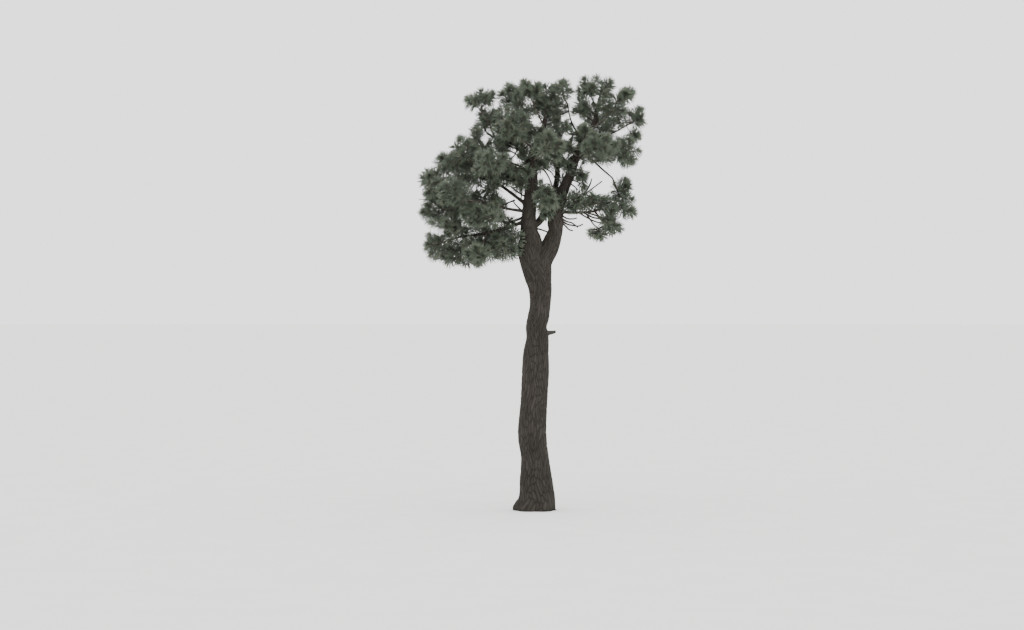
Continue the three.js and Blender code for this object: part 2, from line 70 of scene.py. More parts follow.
# Camera: the eye that the places below were measured from, and the picture's frame
EYE = np.array([-300.0, -30000.0, 2606.0]) * MM
PICTURE_WIDTH = 1024
SENSOR = 36.0  # mm
PIXEL = 13.364 * MM  # what a pixel of the picture spans on the plane of the trunk

# The growth rule's sizes, as in the source
NEEDLE = 148 * MM  # a needle's reach from the middle of its brush
SHOOT = 60 * MM  # half the length of the shoot that carries a brush
SEED = 11
FORK_HEIGHT = 3730 * MM  # the leaders start here, above the crotch
TOE = 62 * MM  # how far the toes of the root flare stand out at the ground
TOE_HEIGHT = 95 * MM  # the height at which little more than a third of that is left
TOE_WIDTH = 0.42  # a toe's half width, in radians round the foot
TOE_AZIMUTHS = [180, 238, 302, 8, 74, 128]
GOLDEN_TURN = math.pi * (3 - math.sqrt(5))
SAG = 0.12  # how far a stem first sags, as a share of its way
REACH = 0.48  # the share of a needle's length that a brush's middle stays inside its mass
LEAST_ROOM = 0.2  # the least share of a mass's radii that its brushes spread over
UNDERSIDE = 0.86  # the share of the mass, from its top, that carries brushes
LOOSENESS = 0.3  # how much of its reach a brush may fall short by chance
BEND = 0.6  # how far along its way a stem sags, as a share
FORKS = [0.3, 0.85]  # the shares of a stem between which its twigs fork
FORK_SEARCH = 0.02  # the step by which a twig's fork moves back until the twig is long enough
FORK_STEP = 0.011  # how far apart twigs fork that would leave the same place
TWIG_LEAST = 1.8  # how far from the stem a brush's middle stays, in half shoots
TWIG_SHORTEST = 1.3  # a twig's least length to its brush's middle, in half shoots
TWIG_STRAIGHTEST = 0.3  # the least cosine between a twig and the shoot that it carries
OUTWARD = 0.5  # how much a twig's shoot turns out from the middle of its mass
ONWARD = 1.5  # how much it keeps on from its fork
UPTURN = 0.55  # and how much it turns up

# Sizes of the finer growth
MAIN_BUNDLES = 66  # bundles of needles in a main brush
FINE_BUNDLES = 50  # and in a finer one
CROWDS = [(3, 2.4), (6, 1.5), (10, 0.98), (15, 0.66)]  # up to so many near it, the share of its bundles
DEEP_SHARE = 0.42  # the share that a brush with more near it has
CROWD_MOST = 20  # with this many near it a brush counts as deep in the crown
CROWD_REACH = 240 * MM  # how far off a brush counts as near in space
SEEN_REACH = 150 * MM  # and as seen
MAIN_REACH = 1.04  # how far a main brush's longest needles reach, as a share of the source's needle
FINE_REACH = 0.98  # and a finer brush's
OVERHANG = 30 * MM  # how far outside the solids' box a finer brush may reach
MAIN_ROOM = 25 * MM  # how far the middle of a main brush keeps from every limb's skin
FINE_ROOM = 38 * MM  # and of a finer one
GAP_ROOM = 8 * MM  # and how far out of the gaps where the sky shows
SHELLS = [(1.0, 9), (0.62, 6), (0.25, 2)]  # shares of a mass's room that carry finer brushes, and how many
INNER_SHELLS = [(1.0, 0.65), (0.55, 0.35)]  # the same for an inner mass, with the share of its brushes
FINE_UNDERSIDE = 0.92  # the share of a shell, from its top, that carries brushes
FINE_LOOSENESS = 0.2  # how much a finer brush may fall short of its shell by chance
LEAST_FINE_ROOM = 0.3  # the least share of a mass's radii that its shells spread over
SPACING = 84 * MM  # the least distance between the middles of a finer brush and any other
VIEW_SPACING = 72 * MM  # how near each other as seen brushes count as one behind the other
MOST_IN_LINE = 5  # how many may stand one behind the other
TRIES = 4  # how often a finer brush that no wood reaches yet is tried again
TWIG_REACH = [1.35 * SHOOT, 4.6 * SHOOT]  # the shortest and the longest finer twig
WOOD_SPAN = (0.15, 1, 9)  # the shares of a twig between which others may leave it, and at how many places
TWIG_SAG = 0.06  # how far a main twig sags in its middle, as a share of its length
FINE_SAG = 0.05  # and a finer one
MAIN_TIP = 0.9  # where a main brush's shoot ends past its middle, in half shoots
FINE_SHOOT = (-0.8, 0.75)  # where a finer brush's shoot starts and ends, in half shoots from its middle
FINE_UPTURN = 0.8 * UPTURN
# Stations along a twig, sides round it, and its radii at the foot and near the tip
TWIG_SHAPES = {
    "stem": (22, 8, (12 * MM, 7 * MM)),
    "twig": (12, 6, (7.5 * MM, 5 * MM)),
    "side": (9, 5, (5.5 * MM, 4 * MM)),
}
TIP_TAPER = 0.5  # a twig's very tip, as a share of its radius there
BARE_TWIG_SHAPE = (24, 7)  # stations along a bare twig and sides round it

# Sizes of the needles
BUNDLE = 6  # needles that leave the shoot together
SPREAD = 0.025  # how far the needles of a bundle part, in radians
SHOOT_SPAN = (-0.9, 1.0)  # the stretch of the shoot that bears needles, in half lengths from its middle
LEANS = (1.7, 0.25)  # how far a needle leans off the shoot at its heel and at its tip, in radians
TURN_VARIES = 0.2  # how far a bundle strays round the shoot, in radians
LEAN_VARIES = 0.12  # and in its lean
LENGTHS = (0.74, 1.05)  # the shortest and the longest bundle, as shares of the way to the brush's rim
SHORTER = 0.9  # the shortest needle of a bundle, as a share of the longest
NEEDLE_RADIUS = 3.4 * MM  # half a needle's width where it is widest; it stands for a few real ones
RADIUS_VARIES = 0.15  # by this share of it, up or down
BELLY = 0.52  # where along its length a needle is widest
FLANK = 0.35  # how far its widest edge lies off its middle, as a share of its radius
DROOP = (0.015, 0.05)  # how far a needle's weight pulls down its widest place and its tip, by its length
SLIVER = np.array([[0, 1, 2], [3, 2, 1], [0, 3, 1], [0, 2, 3]])  # faces on a foot, an edge's ends and a tip
LOOK_AT = 0.6  # besides its tip, the place on a needle that keeps out of the gaps
RAGGED = (-19 * MM, 18 * MM)  # how far needles reach past a gap's edge: the mean, and how it varies
TONE_SHARES = (0.25, 0.4, 0.35)  # what its brush, chance and how free its brush stands add to a needle's tone; the last is painted light and shade, lighter out in the open and darker deep in the crown
TONE_STEPS = (0.42, 0.58)  # needles below the first are deep in tone, and those past the second are light
YELLOWING = 0.05  # the share of needles that turn yellow

# Sizes of the bark's relief
PLATE_WIDTH = 36 * MM  # a bark plate's width on the trunk
PLATE_HEIGHT = 150 * MM
LEAST_PLATES = 7  # plates round the thinnest limb
BARK_DEPTH = 7 * MM  # from the top of a plate to the bottom of a furrow
BOUGH_BARK_DEPTH = 3.5 * MM
LEAST_DEPTH = 0.06  # the least depth, as a share of the limb's radius
PROUD = 0.3  # how far the plates stand past the limb's plain radius, as a share of the depth
GIRTH_SHARE = 0.8  # the girth that sets the plates, as a share of the limb's widest
INSET = 0.12  # how far inside its unit square a cell's point stays
FLAKES = (3, 3.6)  # flakes across a plate and along it
GRAINS = (9, 7)  # grains of grit across a plate and along it
FURROW = 0.34  # the width over which a plate's edge rounds down, as a share of the plate
FLAKE_EDGE = 0.4  # and a flake's edge
PLATE_RISE = (0.62, 0.2)  # a plate's least height and what chance adds, as shares of the depth
FLAKE_RISE = (0.1, 0.14)  # and a flake's
GRIT_RISE = 0.05  # and the grit's
# Waves that shift the plates: size, turns round the limb, pitch along it and the seed's share
WANDER_ROUND = [(0.45, 0, 1.9, 1), (0.3, 0, 0.83, 2), (0.25, 2, 0.7, 0)]
WANDER_ALONG = [(0.5, 3, 0.6, 1), (0.4, 7, -1.1, 2)]
PALER_BARK_HEIGHTS = (2.7, 4.3)  # the bark grows paler between these heights, in metres: partly the younger bark of the crown, partly painted light that offsets the crown's shade on the limbs
FORK_JOIN = 60 * MM  # how near a fork's skins come before they swell into each other
MIDDLE_JOIN = 40 * MM  # and the middle leader and the trunk
BOUGH_JOIN = 30 * MM  # and a bough and its stem
STUB_JOIN = 25 * MM  # and the dead stub and the trunk
MEASURED_AT_ONCE = 20000  # points, to spare memory

# Stems: [x, y, z, radius] in millimetres, places as seen
LEFT_STEM = [
    [8, 0, 0, 240], [33, 0, 170, 232], [20, 4, 430, 213], [3, 8, 720, 184],
    [-31, 6, 1030, 190], [-8, 0, 1430, 178], [12, -8, 1800, 180], [20, -10, 2080, 171],
    [40, -8, 2290, 150], [25, -6, 2445, 138], [54, -4, 2590, 142], [76, 0, 2740, 138],
    [72, -6, 2960, 150], [12, -12, 3150, 154], [-38, -20, 3310, 152], [-62, -30, 3480, 168],
    [-57, -42, 3610, 150], [-73, -55, 3730, 118], [-75, -70, 3945, 95], [-47, -85, 4200, 91],
    [-42, -95, 4410, 86], [-28, -100, 4675, 73], [24, -95, 4880, 52], [112, -80, 5075, 35],
    [140, -60, 5225, 27],
]
RIGHT_STEM = [
    [78, 0, 2780, 90], [100, 4, 2960, 104], [118, 8, 3140, 108], [130, 14, 3310, 106],
    [198, 24, 3480, 118], [241, 34, 3610, 114], [280, 42, 3730, 98], [280, 44, 3840, 107],
    [291, 48, 3945, 94], [330, 40, 4150, 91], [396, 24, 4300, 74], [462, 6, 4445, 62],
    [548, -14, 4690, 58], [612, -30, 4840, 56], [676, -40, 4960, 50], [745, -38, 5065, 40],
    [805, -30, 5190, 31], [832, -20, 5340, 24], [868, -8, 5500, 17], [900, 0, 5600, 12],
]
MIDDLE_STEM = [
    [-70, -60, 3790, 44], [28, -10, 3826, 46], [88, 30, 3889, 50], [148, 80, 3992, 54],
    [202, 130, 4105, 50], [254, 180, 4230, 42], [297, 215, 4400, 38], [308, 245, 4580, 34],
    [316, 275, 4740, 34], [337, 320, 4865, 33], [318, 380, 5010, 30], [290, 420, 5130, 26],
]

# Boughs: name, parent, radii at base and tip, and the path as seen
BOUGHS = [
    ("left_low_bough", "left_leader", [26, 11],
     [[-75, -60, 3880], [-380, -110, 3765], [-700, -140, 3690], [-930, -160, 3660], [-1140, -170, 3610]]),
    ("left_low_back_bough", "left_leader", [22, 10],
     [[-75, -60, 3960], [-200, 190, 3890], [-330, 430, 3850], [-520, 600, 3850]]),
    ("left_mid_front_bough", "left_leader", [22, 10],
     [[-60, -70, 3985], [-380, -210, 4030], [-640, -300, 4100], [-890, -330, 4130]]),
    ("left_mid_bough", "left_leader", [25, 11],
     [[-50, -85, 4040], [-350, -40, 4265], [-580, 20, 4410], [-860, 70, 4465], [-1170, 120, 4440]]),
    ("left_mid_back_bough", "left_leader", [22, 10],
     [[-45, -90, 4400], [-210, 200, 4415], [-470, 470, 4420], [-720, 620, 4420]]),
    ("left_high_bough", "left_leader", [22, 9],
     [[-40, -98, 4560], [-175, 10, 4790], [-330, 80, 4910], [-520, 110, 4960]]),
    ("left_high_front_bough", "left_leader", [18, 9],
     [[-35, -98, 4480], [-200, -320, 4600], [-400, -560, 4660]]),
    ("middle_top_bough", "right_leader", [15, 8],
     [[640, -35, 4900], [545, -40, 5080], [480, -50, 5230], [440, -60, 5430]]),
    ("right_edge_bough", "right_leader", [18, 9],
     [[700, -38, 4990], [890, -30, 5000], [1080, 0, 5055], [1230, 30, 5140]]),
    ("right_front_bough", "right_leader", [20, 10],
     [[540, -12, 4660], [650, -240, 4730], [760, -440, 4790]]),
    ("right_back_bough", "right_leader", [20, 10],
     [[530, -10, 4630], [640, 230, 4740], [740, 480, 4850]]),
    ("right_drooping_bough", "right_leader", [16, 11],
     [[590, -25, 4790], [745, 0, 4700], [900, 50, 4560], [1040, 110, 4440]]),
    ("right_low_bough", "right_leader", [26, 10],
     [[300, 48, 3990], [550, 0, 3975], [740, -60, 3985], [905, -110, 4020]]),
]
DEAD_WOOD = [
    ("dead_stub", "trunk", [44, 17], [[40, -8, 2352], [190, -20, 2366], [286, -24, 2383]]),
    ("dead_snag", "right_low_bough", [15, 8],
     [[540, 0, 3980], [620, 30, 4170], [740, 40, 4270], [905, 50, 4395]]),
]

# Masses: name, limb, place on it, centre as seen, radii, brushes, azimuth of the first brush
MASSES = [
    ("low_left_tip", "left_low_bough", 1, [-1300, -150, 3555], [175, 175, 145], 5, 180),
    ("low_left_under", "left_low_bough", 0.72, [-1050, 190, 3435], [200, 200, 160], 6, 200),
    ("low_front", "left_low_bough", 0.45, [-755, -560, 3410], [185, 215, 160], 5, 250),
    ("low_inner", "left_leader", 3790, [-420, -300, 3530], [240, 240, 215], 9),
    ("low_back", "left_low_back_bough", 0.65, [-595, 620, 3635], [320, 265, 240], 7),
    ("left_low_shelf", "left_low_bough", 0.82, [-1155, -350, 3795], [225, 215, 145], 6),
    ("left_edge_low", "left_mid_front_bough", 1, [-1330, -60, 4025], [200, 240, 200], 7, 190),
    ("left_edge_high", "left_mid_bough", 1, [-1355, 160, 4385], [200, 240, 185], 8, 160),
    ("left_front", "left_mid_front_bough", 0.8, [-1060, -700, 4235], [225, 225, 225], 7),
    ("left_back", "left_low_back_bough", 1, [-970, 760, 4075], [320, 280, 240], 8),
    ("left_shelf_front", "left_mid_front_bough", 0.4, [-700, -580, 3915], [295, 255, 175], 7),
    ("left_shelf_inner", "left_mid_front_bough", 0.6, [-700, 130, 4145], [265, 225, 160], 7),
    ("left_shoulder_low", "left_mid_bough", 0.88, [-1140, 350, 4610], [185, 225, 185], 7),
    ("left_shoulder_mid", "left_mid_bough", 0.62, [-915, -330, 4800], [185, 225, 185], 7, 150),
    ("left_shoulder_back", "left_mid_back_bough", 1, [-820, 800, 4570], [265, 265, 225], 7),
    ("left_high_front", "left_high_front_bough", 1, [-605, -800, 4635], [240, 240, 215], 8),
    ("left_inner_back", "left_mid_back_bough", 0.45, [-365, 400, 4475], [255, 225, 200], 7),
    ("left_high", "left_high_bough", 0.75, [-605, 220, 5185], [200, 215, 175], 6, 200),
    ("left_twin_brush", "left_high_bough", 1, [-720, -60, 5470], [235, 160, 145], 2, 10),
    ("high_front", "left_leader", 4800, [-285, -480, 5120], [240, 255, 255], 10),
    ("high_back", "left_high_bough", 0.5, [-315, 560, 4970], [240, 255, 225], 7),
    ("top_left", "left_leader", 4990, [-300, 130, 5505], [175, 215, 200], 7, 120),
    ("top_middle", "left_leader", 5120, [-60, -270, 5575], [185, 185, 175], 5, 200),
    ("top_centre", "left_leader", 5225, [170, -30, 5440], [215, 215, 265], 10),
    ("top_back", "middle_leader", 5130, [260, 500, 5305], [225, 225, 215], 7),
    ("top_right", "middle_top_bough", 1, [355, -60, 5585], [145, 135, 185], 3, 60),
    ("middle_front", "left_leader", 4640, [180, -640, 4850], [215, 225, 215], 7),
    ("middle_back", "middle_leader", 4700, [220, 880, 4810], [225, 255, 225], 7),
    ("right_top", "right_leader", 5600, [810, -40, 5625], [280, 200, 185], 8),
    ("right_inner", "right_leader", 5170, [665, 260, 5330], [185, 185, 175], 4),
    ("right_far_top", "right_leader", 5330, [1240, -110, 5560], [145, 135, 135], 1),
    ("right_shoulder", "right_leader", 5090, [1035, -190, 5360], [225, 200, 185], 7),
    ("right_edge", "right_edge_bough", 1, [1345, 60, 5225], [160, 160, 160], 4, 40),
    ("right_front", "right_front_bough", 1, [865, -620, 4865], [255, 240, 200], 8),
    ("right_back", "right_back_bough", 1, [825, 720, 5010], [280, 265, 255], 8),
    ("right_low_edge", "right_edge_bough", 0.45, [1195, -130, 4810], [200, 215, 200], 7),
    ("right_shelf", "right_low_bough", 0.4, [705, -190, 4130], [305, 215, 145], 8),
    ("fork_front", "right_leader", 4060, [155, -430, 4170], [145, 185, 255], 6),
    ("right_drooping_tip", "right_drooping_bough", 1, [1155, 130, 4195], [160, 200, 295], 8, 30),
    ("right_low_under", "right_low_bough", 1, [995, -170, 3915], [145, 175, 200], 5),
    ("right_hanging_brush", "right_low_bough", 0.55, [810, -20, 3730], [120, 135, 135], 1),
]
# The masses, by their places in that list, that share a joined piece of needles and one of twigs
REGIONS = {
    "low_left": range(0, 6),
    "left_edge": range(6, 9),
    "left_shelf": range(9, 12),
    "left_shoulder": range(12, 17),
    "high_left": range(17, 21),
    "top": range(21, 26),
    "middle": range(26, 30),
    "right": range(30, 35),
    "low_right": range(35, 41),
}

# Bare twigs among the boughs: radii at the base and the tip, and the path as seen
BARE_TWIGS = [
    ([14, 11], [[-30, -60, 3770], [50, -50, 3758], [125, -20, 3735], [215, 20, 3700]]),
    ([14, 9], [[300, 40, 3985], [422, 10, 3902], [502, 0, 3890], [570, 0, 3902]]),
    ([14, 9], [[300, 40, 3945], [422, -10, 3862], [502, -20, 3836], [583, -20, 3775]]),
    ([14, 9], [[300, 50, 3920], [422, 40, 3829], [502, 50, 3805], [590, 60, 3795], [650, 60, 3822]]),
    ([14, 9], [[300, 40, 3900], [416, 20, 3795], [462, 10, 3749], [516, 0, 3731]]),
    ([14, 9], [[600, -10, 3990], [640, -30, 3945], [800, -60, 3860], [945, -80, 3822]]),
    ([14, 9], [[640, -20, 3985], [770, -60, 3915], [900, -90, 3880], [960, -110, 3800]]),
    ([14, 9], [[110, -85, 4560], [150, -60, 4515], [195, -40, 4437], [249, -20, 4300]]),
    ([12, 8], [[120, -85, 4575], [222, -60, 4517], [275, -40, 4430]]),
    ([12, 8], [[30, -90, 4300], [90, -110, 4317], [155, -120, 4357], [215, -120, 4352]]),
    ([13, 9], [[-35, -98, 4480], [-150, -60, 4360], [-180, 20, 4150]]),
    ([13, 8], [[-180, -130, 4010], [-250, -150, 4080], [-290, -150, 4135]]),
    ([13, 9], [[-75, -70, 4160], [-200, -90, 4235], [-330, -100, 4330]]),
    ([12, 8], [[470, 0, 4420], [540, -60, 4400], [610, -90, 4370]]),
    ([12, 8], [[480, 0, 4440], [530, -50, 4470], [565, -60, 4515]]),
    ([14, 9], [[636, 20, 4183], [716, 30, 4303], [750, 35, 4370], [763, 40, 4430]]),
    ([13, 9], [[716, -40, 3969], [837, -60, 3929], [903, -70, 3862], [970, -80, 3835]]),
    ([13, 9], [[810, -60, 3982], [890, -80, 3902], [957, -90, 3835]]),
    ([12, 8], [[756, -30, 3749], [837, -30, 3755], [917, -30, 3795]]),
    ([13, 9], [[-259, -40, 4143], [-393, -60, 4089], [-473, -70, 4049]]),
    ([12, 8], [[-166, -60, 4129], [-273, -70, 4196], [-339, -80, 4250]]),
    ([14, 11], [[-674, -40, 5118], [-633, -50, 5038], [-553, -50, 4978]]),
    ([12, 8], [[-727, -40, 4905], [-674, -50, 4858], [-593, -50, 4851]]),
    ([12, 8], [[-366, -60, 4878], [-259, -60, 4831], [-179, -60, 4784]]),
    ([12, 8], [[-353, -40, 4811], [-259, -40, 4764], [-179, -50, 4704]]),
    ([12, 8], [[-326, -50, 4691], [-273, -50, 4731], [-233, -50, 4811]]),
    ([17, 14], [[-179, -80, 4905], [-159, -80, 4811], [-112, -80, 4704]]),
    ([12, 8], [[462, -40, 5332], [342, -60, 5279]]),
    ([14, 11], [[917, -20, 5720], [903, -20, 5613], [877, -20, 5519]]),
    ([12, 9], [[770, -40, 5506], [796, -40, 5439], [837, -40, 5372]]),
    ([12, 8], [[489, -30, 4370], [516, -40, 4423], [556, -40, 4504]]),
    ([12, 8], [[489, -30, 4357], [543, -40, 4317], [583, -40, 4276]]),
]

# Where the sky shows through the crown: middle and half sizes as seen, and the tilt in degrees
SKY_GAPS = [
    (-440, 5506, 127, 35, -62), (-593, 5365, 80, 24, 8), (-72, 5459, 100, 29, -42), (41, 5199, 61, 91, 12),
    (389, 5232, 60, 67, 0), (556, 5232, 87, 80, 0), (416, 4985, 74, 48, 0), (556, 4905, 53, 48, 0),
    (422, 4744, 61, 48, 0), (730, 5453, 94, 32, -50), (823, 5533, 35, 24, 0), (843, 5640, 27, 53, 0),
    (516, 5519, 45, 160, 0), (1238, 5092, 127, 53, 24), (1197, 5239, 60, 21, 10), (930, 4981, 94, 16, 8),
    (1004, 5439, 35, 60, 0), (168, 4450, 94, 140, 0), (-273, 4784, 60, 80, 0), (-259, 4637, 40, 53, 0),
    (-660, 4971, 59, 75, 0), (-513, 5032, 40, 32, 0), (-807, 4290, 60, 67, 0), (-807, 4450, 24, 80, -10),
    (-286, 4256, 147, 40, -29), (-433, 4223, 80, 44, -25), (-279, 4069, 94, 47, 0), (-313, 3962, 94, 59, 0),
    (-246, 3769, 56, 24, 0), (65, 3942, 31, 69, 0), (118, 3729, 67, 120, 0), (877, 4403, 180, 207, 0),
    (569, 4357, 53, 48, 0), (382, 4504, 16, 53, 0), (716, 4570, 94, 67, 0), (-914, 3729, 44, 35, 0),
    (-794, 3711, 60, 16, 0), (-1074, 3876, 60, 21, 0), (-901, 3956, 31, 13, 0), (-1068, 3942, 31, 12, 0),
    (-700, 3642, 120, 16, 0), (-1302, 3729, 107, 48, 0), (-393, 3354, 80, 40, 0),
    (1144, 3889, 107, 48, -28), (903, 5306, 45, 29, 0), (1572, 5279, 120, 160, 0), (636, 3855, 245, 118, 0),
    (770, 3849, 120, 75, 0), (1205, 3795, 60, 70, 0), (-1121, 4911, 70, 60, 30), (690, 3702, 50, 80, 0),
]

# The spaces between the masses that finer twigs fill: centre as seen, radii, brushes
INNER_MASSES = [
    (-460, -60, 3662, 294, 330, 200, 16), (-861, -60, 3568, 401, 420, 200, 22),
    (-1221, -60, 3475, 267, 300, 160, 12), (-567, -60, 3982, 267, 420, 160, 16),
    (-1021, -40, 4076, 347, 520, 227, 24), (-1302, 0, 4250, 267, 520, 294, 24),
    (-593, 0, 4517, 321, 480, 214, 20), (-968, 0, 4611, 347, 500, 214, 24),
    (-326, -100, 4570, 241, 420, 187, 14), (-700, 0, 4811, 241, 380, 160, 14),
    (-366, -60, 5012, 294, 460, 214, 18), (-192, -60, 5279, 321, 400, 241, 18),
    (8, -30, 5573, 428, 300, 160, 16), (115, -60, 4918, 214, 460, 241, 18),
    (342, 100, 5078, 174, 420, 241, 14), (355, -60, 5573, 120, 160, 174, 8),
    (409, 60, 4544, 134, 330, 267, 12), (88, -60, 4597, 94, 300, 160, 7),
    (743, 0, 5372, 214, 300, 214, 12), (957, -60, 5319, 214, 320, 214, 14),
    (1144, -30, 5212, 187, 300, 187, 12), (984, -60, 4838, 347, 420, 187, 24),
    (676, 0, 5012, 160, 420, 214, 12), (502, -80, 4143, 187, 300, 134, 10),
    (850, -60, 4103, 241, 300, 120, 12), (1144, -30, 4036, 134, 260, 187, 10),
    (235, -60, 4143, 160, 300, 187, 8), (623, 0, 4544, 94, 260, 214, 6),
    (-86, -60, 4477, 107, 420, 401, 8), (-767, 0, 4971, 94, 260, 160, 8),
    (-887, 0, 4410, 267, 420, 120, 16), (-553, 0, 4383, 134, 380, 94, 7),
    (-1409, 0, 3956, 134, 300, 147, 9), (-339, -60, 3475, 147, 260, 147, 11),
    (1318, 0, 4998, 80, 170, 94, 5), (556, -60, 4063, 174, 230, 107, 9),
    (1117, 0, 3929, 134, 220, 120, 7), (-1061, 0, 3769, 200, 380, 107, 10),
    (-994, -60, 3368, 321, 260, 94, 12), (-273, -30, 4397, 180, 300, 90, 9),
    (-139, -60, 4811, 120, 300, 150, 7), (235, -20, 4517, 80, 200, 180, 6),
    (476, -20, 4811, 130, 260, 150, 7), (850, -30, 4704, 330, 300, 90, 10),
    (1251, -60, 4677, 130, 250, 90, 5), (623, -30, 4477, 110, 200, 130, 6),
    (-299, -40, 3421, 160, 220, 90, 6), (-593, -40, 3408, 110, 220, 90, 4),
    (-968, -40, 3328, 300, 240, 80, 9), (1251, 0, 3982, 90, 200, 120, 4),
    (1037, -40, 3769, 140, 180, 90, 4), (-213, -30, 3636, 60, 150, 180, 5),
    (-560, -40, 4290, 140, 260, 80, 5), (770, -30, 4063, 190, 260, 80, 9),
    (-473, -30, 4103, 110, 260, 110, 6), (-326, -30, 3849, 150, 220, 60, 5),
    (115, 0, 4170, 90, 240, 140, 7), (-1475, -60, 4076, 110, 240, 130, 7),
    (-1315, -60, 3929, 130, 260, 110, 7), (-1101, -60, 3715, 150, 240, 80, 6),
    (-72, -30, 5065, 110, 260, 90, 6), (-540, -30, 4931, 80, 220, 100, 4),
    (-433, -30, 4784, 90, 260, 90, 5), (449, -30, 4864, 110, 240, 60, 5),
    (529, -30, 4998, 50, 200, 80, 3), (783, -30, 5733, 80, 160, 60, 3),
    (957, -30, 5586, 90, 200, 120, 5), (703, -30, 5640, 110, 220, 120, 6),
    (222, 0, 4651, 80, 200, 60, 4), (-705, -60, 5490, 60, 60, 60, 1),
    (-800, 70, 5480, 60, 60, 60, 1), (-640, 60, 5500, 60, 60, 60, 1),
    (-640, -160, 5500, 60, 60, 60, 1), (1235, 0, 5545, 60, 60, 60, 1),
    (1225, -215, 5545, 60, 60, 60, 1), (-206, -30, 4337, 80, 200, 60, 4),
    (-230, -220, 3560, 70, 100, 170, 6), (-1412, -30, 4160, 100, 220, 130, 6),
    (-1400, -60, 4000, 100, 220, 90, 4), (-180, -270, 4337, 80, 90, 90, 4),
    (-250, -260, 3700, 90, 90, 50, 3), (342, -40, 5640, 110, 160, 70, 5),
    (716, -40, 5590, 110, 160, 70, 4), (957, -40, 5519, 100, 160, 110, 6),
    (640, -30, 4590, 60, 160, 70, 3), (656, -30, 4400, 50, 160, 70, 3),
    (650, -60, 4030, 200, 200, 70, 8), (150, -150, 3960, 90, 150, 90, 5),
    (185, 150, 3905, 60, 60, 60, 1), (877, 50, 3682, 60, 60, 60, 1),
    (-593, -40, 5265, 100, 160, 70, 5), (-780, -40, 3760, 90, 200, 70, 5),
    (-1285, -60, 3450, 90, 160, 70, 5), (1344, 0, 5252, 80, 160, 110, 5),
]


# Small helpers
def unit(vectors):
    """Vectors cut or stretched to length one."""
    return vectors / np.linalg.norm(vectors, axis=-1, keepdims=True)


def smooth(x):
    """0 below 0, 1 above 1, and an even S between."""
    x = np.clip(x, 0, 1)
    return x * x * (3 - 2 * x)


def chance(first, second, use):
    """A repeatable chance from 0 to 1: the fraction left of a large multiple of the sine of a mix of three
    numbers, of which 'use' keeps one purpose apart from another."""
    a, b, c = CHANCE_MIX
    wave = np.sin(SEED + first * a + second * b + use * c) * CHANCE_SCALE
    return wave - np.floor(wave)


def seen(places):
    """The true place of points given as seen, in millimetres: x and z move away from the eye by 1 + depth /
    the eye's distance."""
    places = np.asarray(places, float)[..., :3] * MM
    share = 1 + places[..., 1:2] / -EYE[1]
    true = EYE + (places - EYE) * share
    true[..., 1] = places[..., 1]
    return true


def as_seen(points):
    """The reverse: where true points, seen from the eye, lie on the plane of the trunk, as x and z."""
    share = 1 + points[..., 1:2] / -EYE[1]
    return (EYE + (points - EYE) / share)[..., [0, 2]]


def spline(points, t):
    """Catmull-Rom curve through points at shares t: each span is the cubic whose end slopes are half the step
    between the neighbours on either side, and the ends are carried on straight."""
    points = np.asarray(points, float)
    head = 2 * points[..., :1, :] - points[..., 1:2, :]
    tail = 2 * points[..., -1:, :] - points[..., -2:-1, :]
    row = np.concatenate([head, points, tail], axis=-2)
    spans = points.shape[-2] - 1
    place = np.clip(np.asarray(t, float), 0, 1) * spans
    i = np.minimum(place.astype(int), spans - 1)
    w = (place - i)[..., None]
    a, b, c, d = (row[..., i + k, :] for k in range(4))
    start, end = (c - a) / 2, (d - b) / 2
    return b + start * w + (3 * (c - b) - 2 * start - end) * w**2 + (2 * (b - c) + start + end) * w**3


def spiral(count, underside, first_turn):
    """Ways out from a middle on a spiral over a ball: number k of count points to the height 1 - 2 underside
    (k + 1/2) / count, a golden turn round from the last. Returns the numbers and the ways."""
    k = np.arange(count)
    rise = 1 - 2 * underside * (k + 0.5) / count
    turn = k * GOLDEN_TURN + first_turn
    level = np.sqrt(1 - rise**2)
    return k, np.stack([level * np.cos(turn), level * np.sin(turn), rise], -1)


# Limbs
class Limb:
    """A limb's axis, with a radius that follows the same curve, from the share 'start' of its length."""

    def __init__(self, points, radii, start=0.0, upright=False):
        self.points = np.asarray(points, float)
        self.radii = np.asarray(radii, float)[:, None]
        self.start = start
        self.upright = upright

    def at(self, t):
        """The axis at shares t of it."""
        return spline(self.points, t)

    def radius(self, t):
        """The radius there."""
        return spline(self.radii, t)[..., 0]

    def share_at(self, height):
        """The share at which the axis first reaches a height."""
        t = np.linspace(0, 1, 401)
        reached = self.at(t)[:, 2] >= height
        return t[np.argmax(reached)] if reached.any() else 1.0

    def nearest(self, point):
        """The share at which the axis comes nearest to a point."""
        t = np.linspace(self.start, 1, 201)
        return t[np.argmin(np.linalg.norm(self.at(t) - point, axis=1))]

    def samples(self, count=60):
        """Places along the axis and the radii there."""
        t = np.linspace(self.start, 1, count + 1)
        return self.at(t), self.radius(t)


def make_limbs():
    """The trunk, leaders, boughs and dead wood by name. Each bough starts on its parent's axis."""
    left, right, middle = (np.array(rows, float) for rows in (LEFT_STEM, RIGHT_STEM, MIDDLE_STEM))
    stems = [Limb(seen(rows), rows[:, 3] * MM, upright=True) for rows in (left, right, middle)]
    limbs = {"trunk": stems[0], "right_fork": stems[1]}
    for name, stem in zip(("left_leader", "right_leader"), stems):
        limbs[name] = Limb(stem.points, stem.radii[:, 0], stem.share_at(FORK_HEIGHT), True)
    limbs["middle_leader"] = stems[2]
    for name, parent, (base, tip), path in BOUGHS + DEAD_WOOD:
        points = seen(path)
        points[0] = limbs[parent].at(limbs[parent].nearest(points[0]))
        limbs[name] = Limb(points, np.linspace(base, tip, len(points)) * MM)
    return limbs


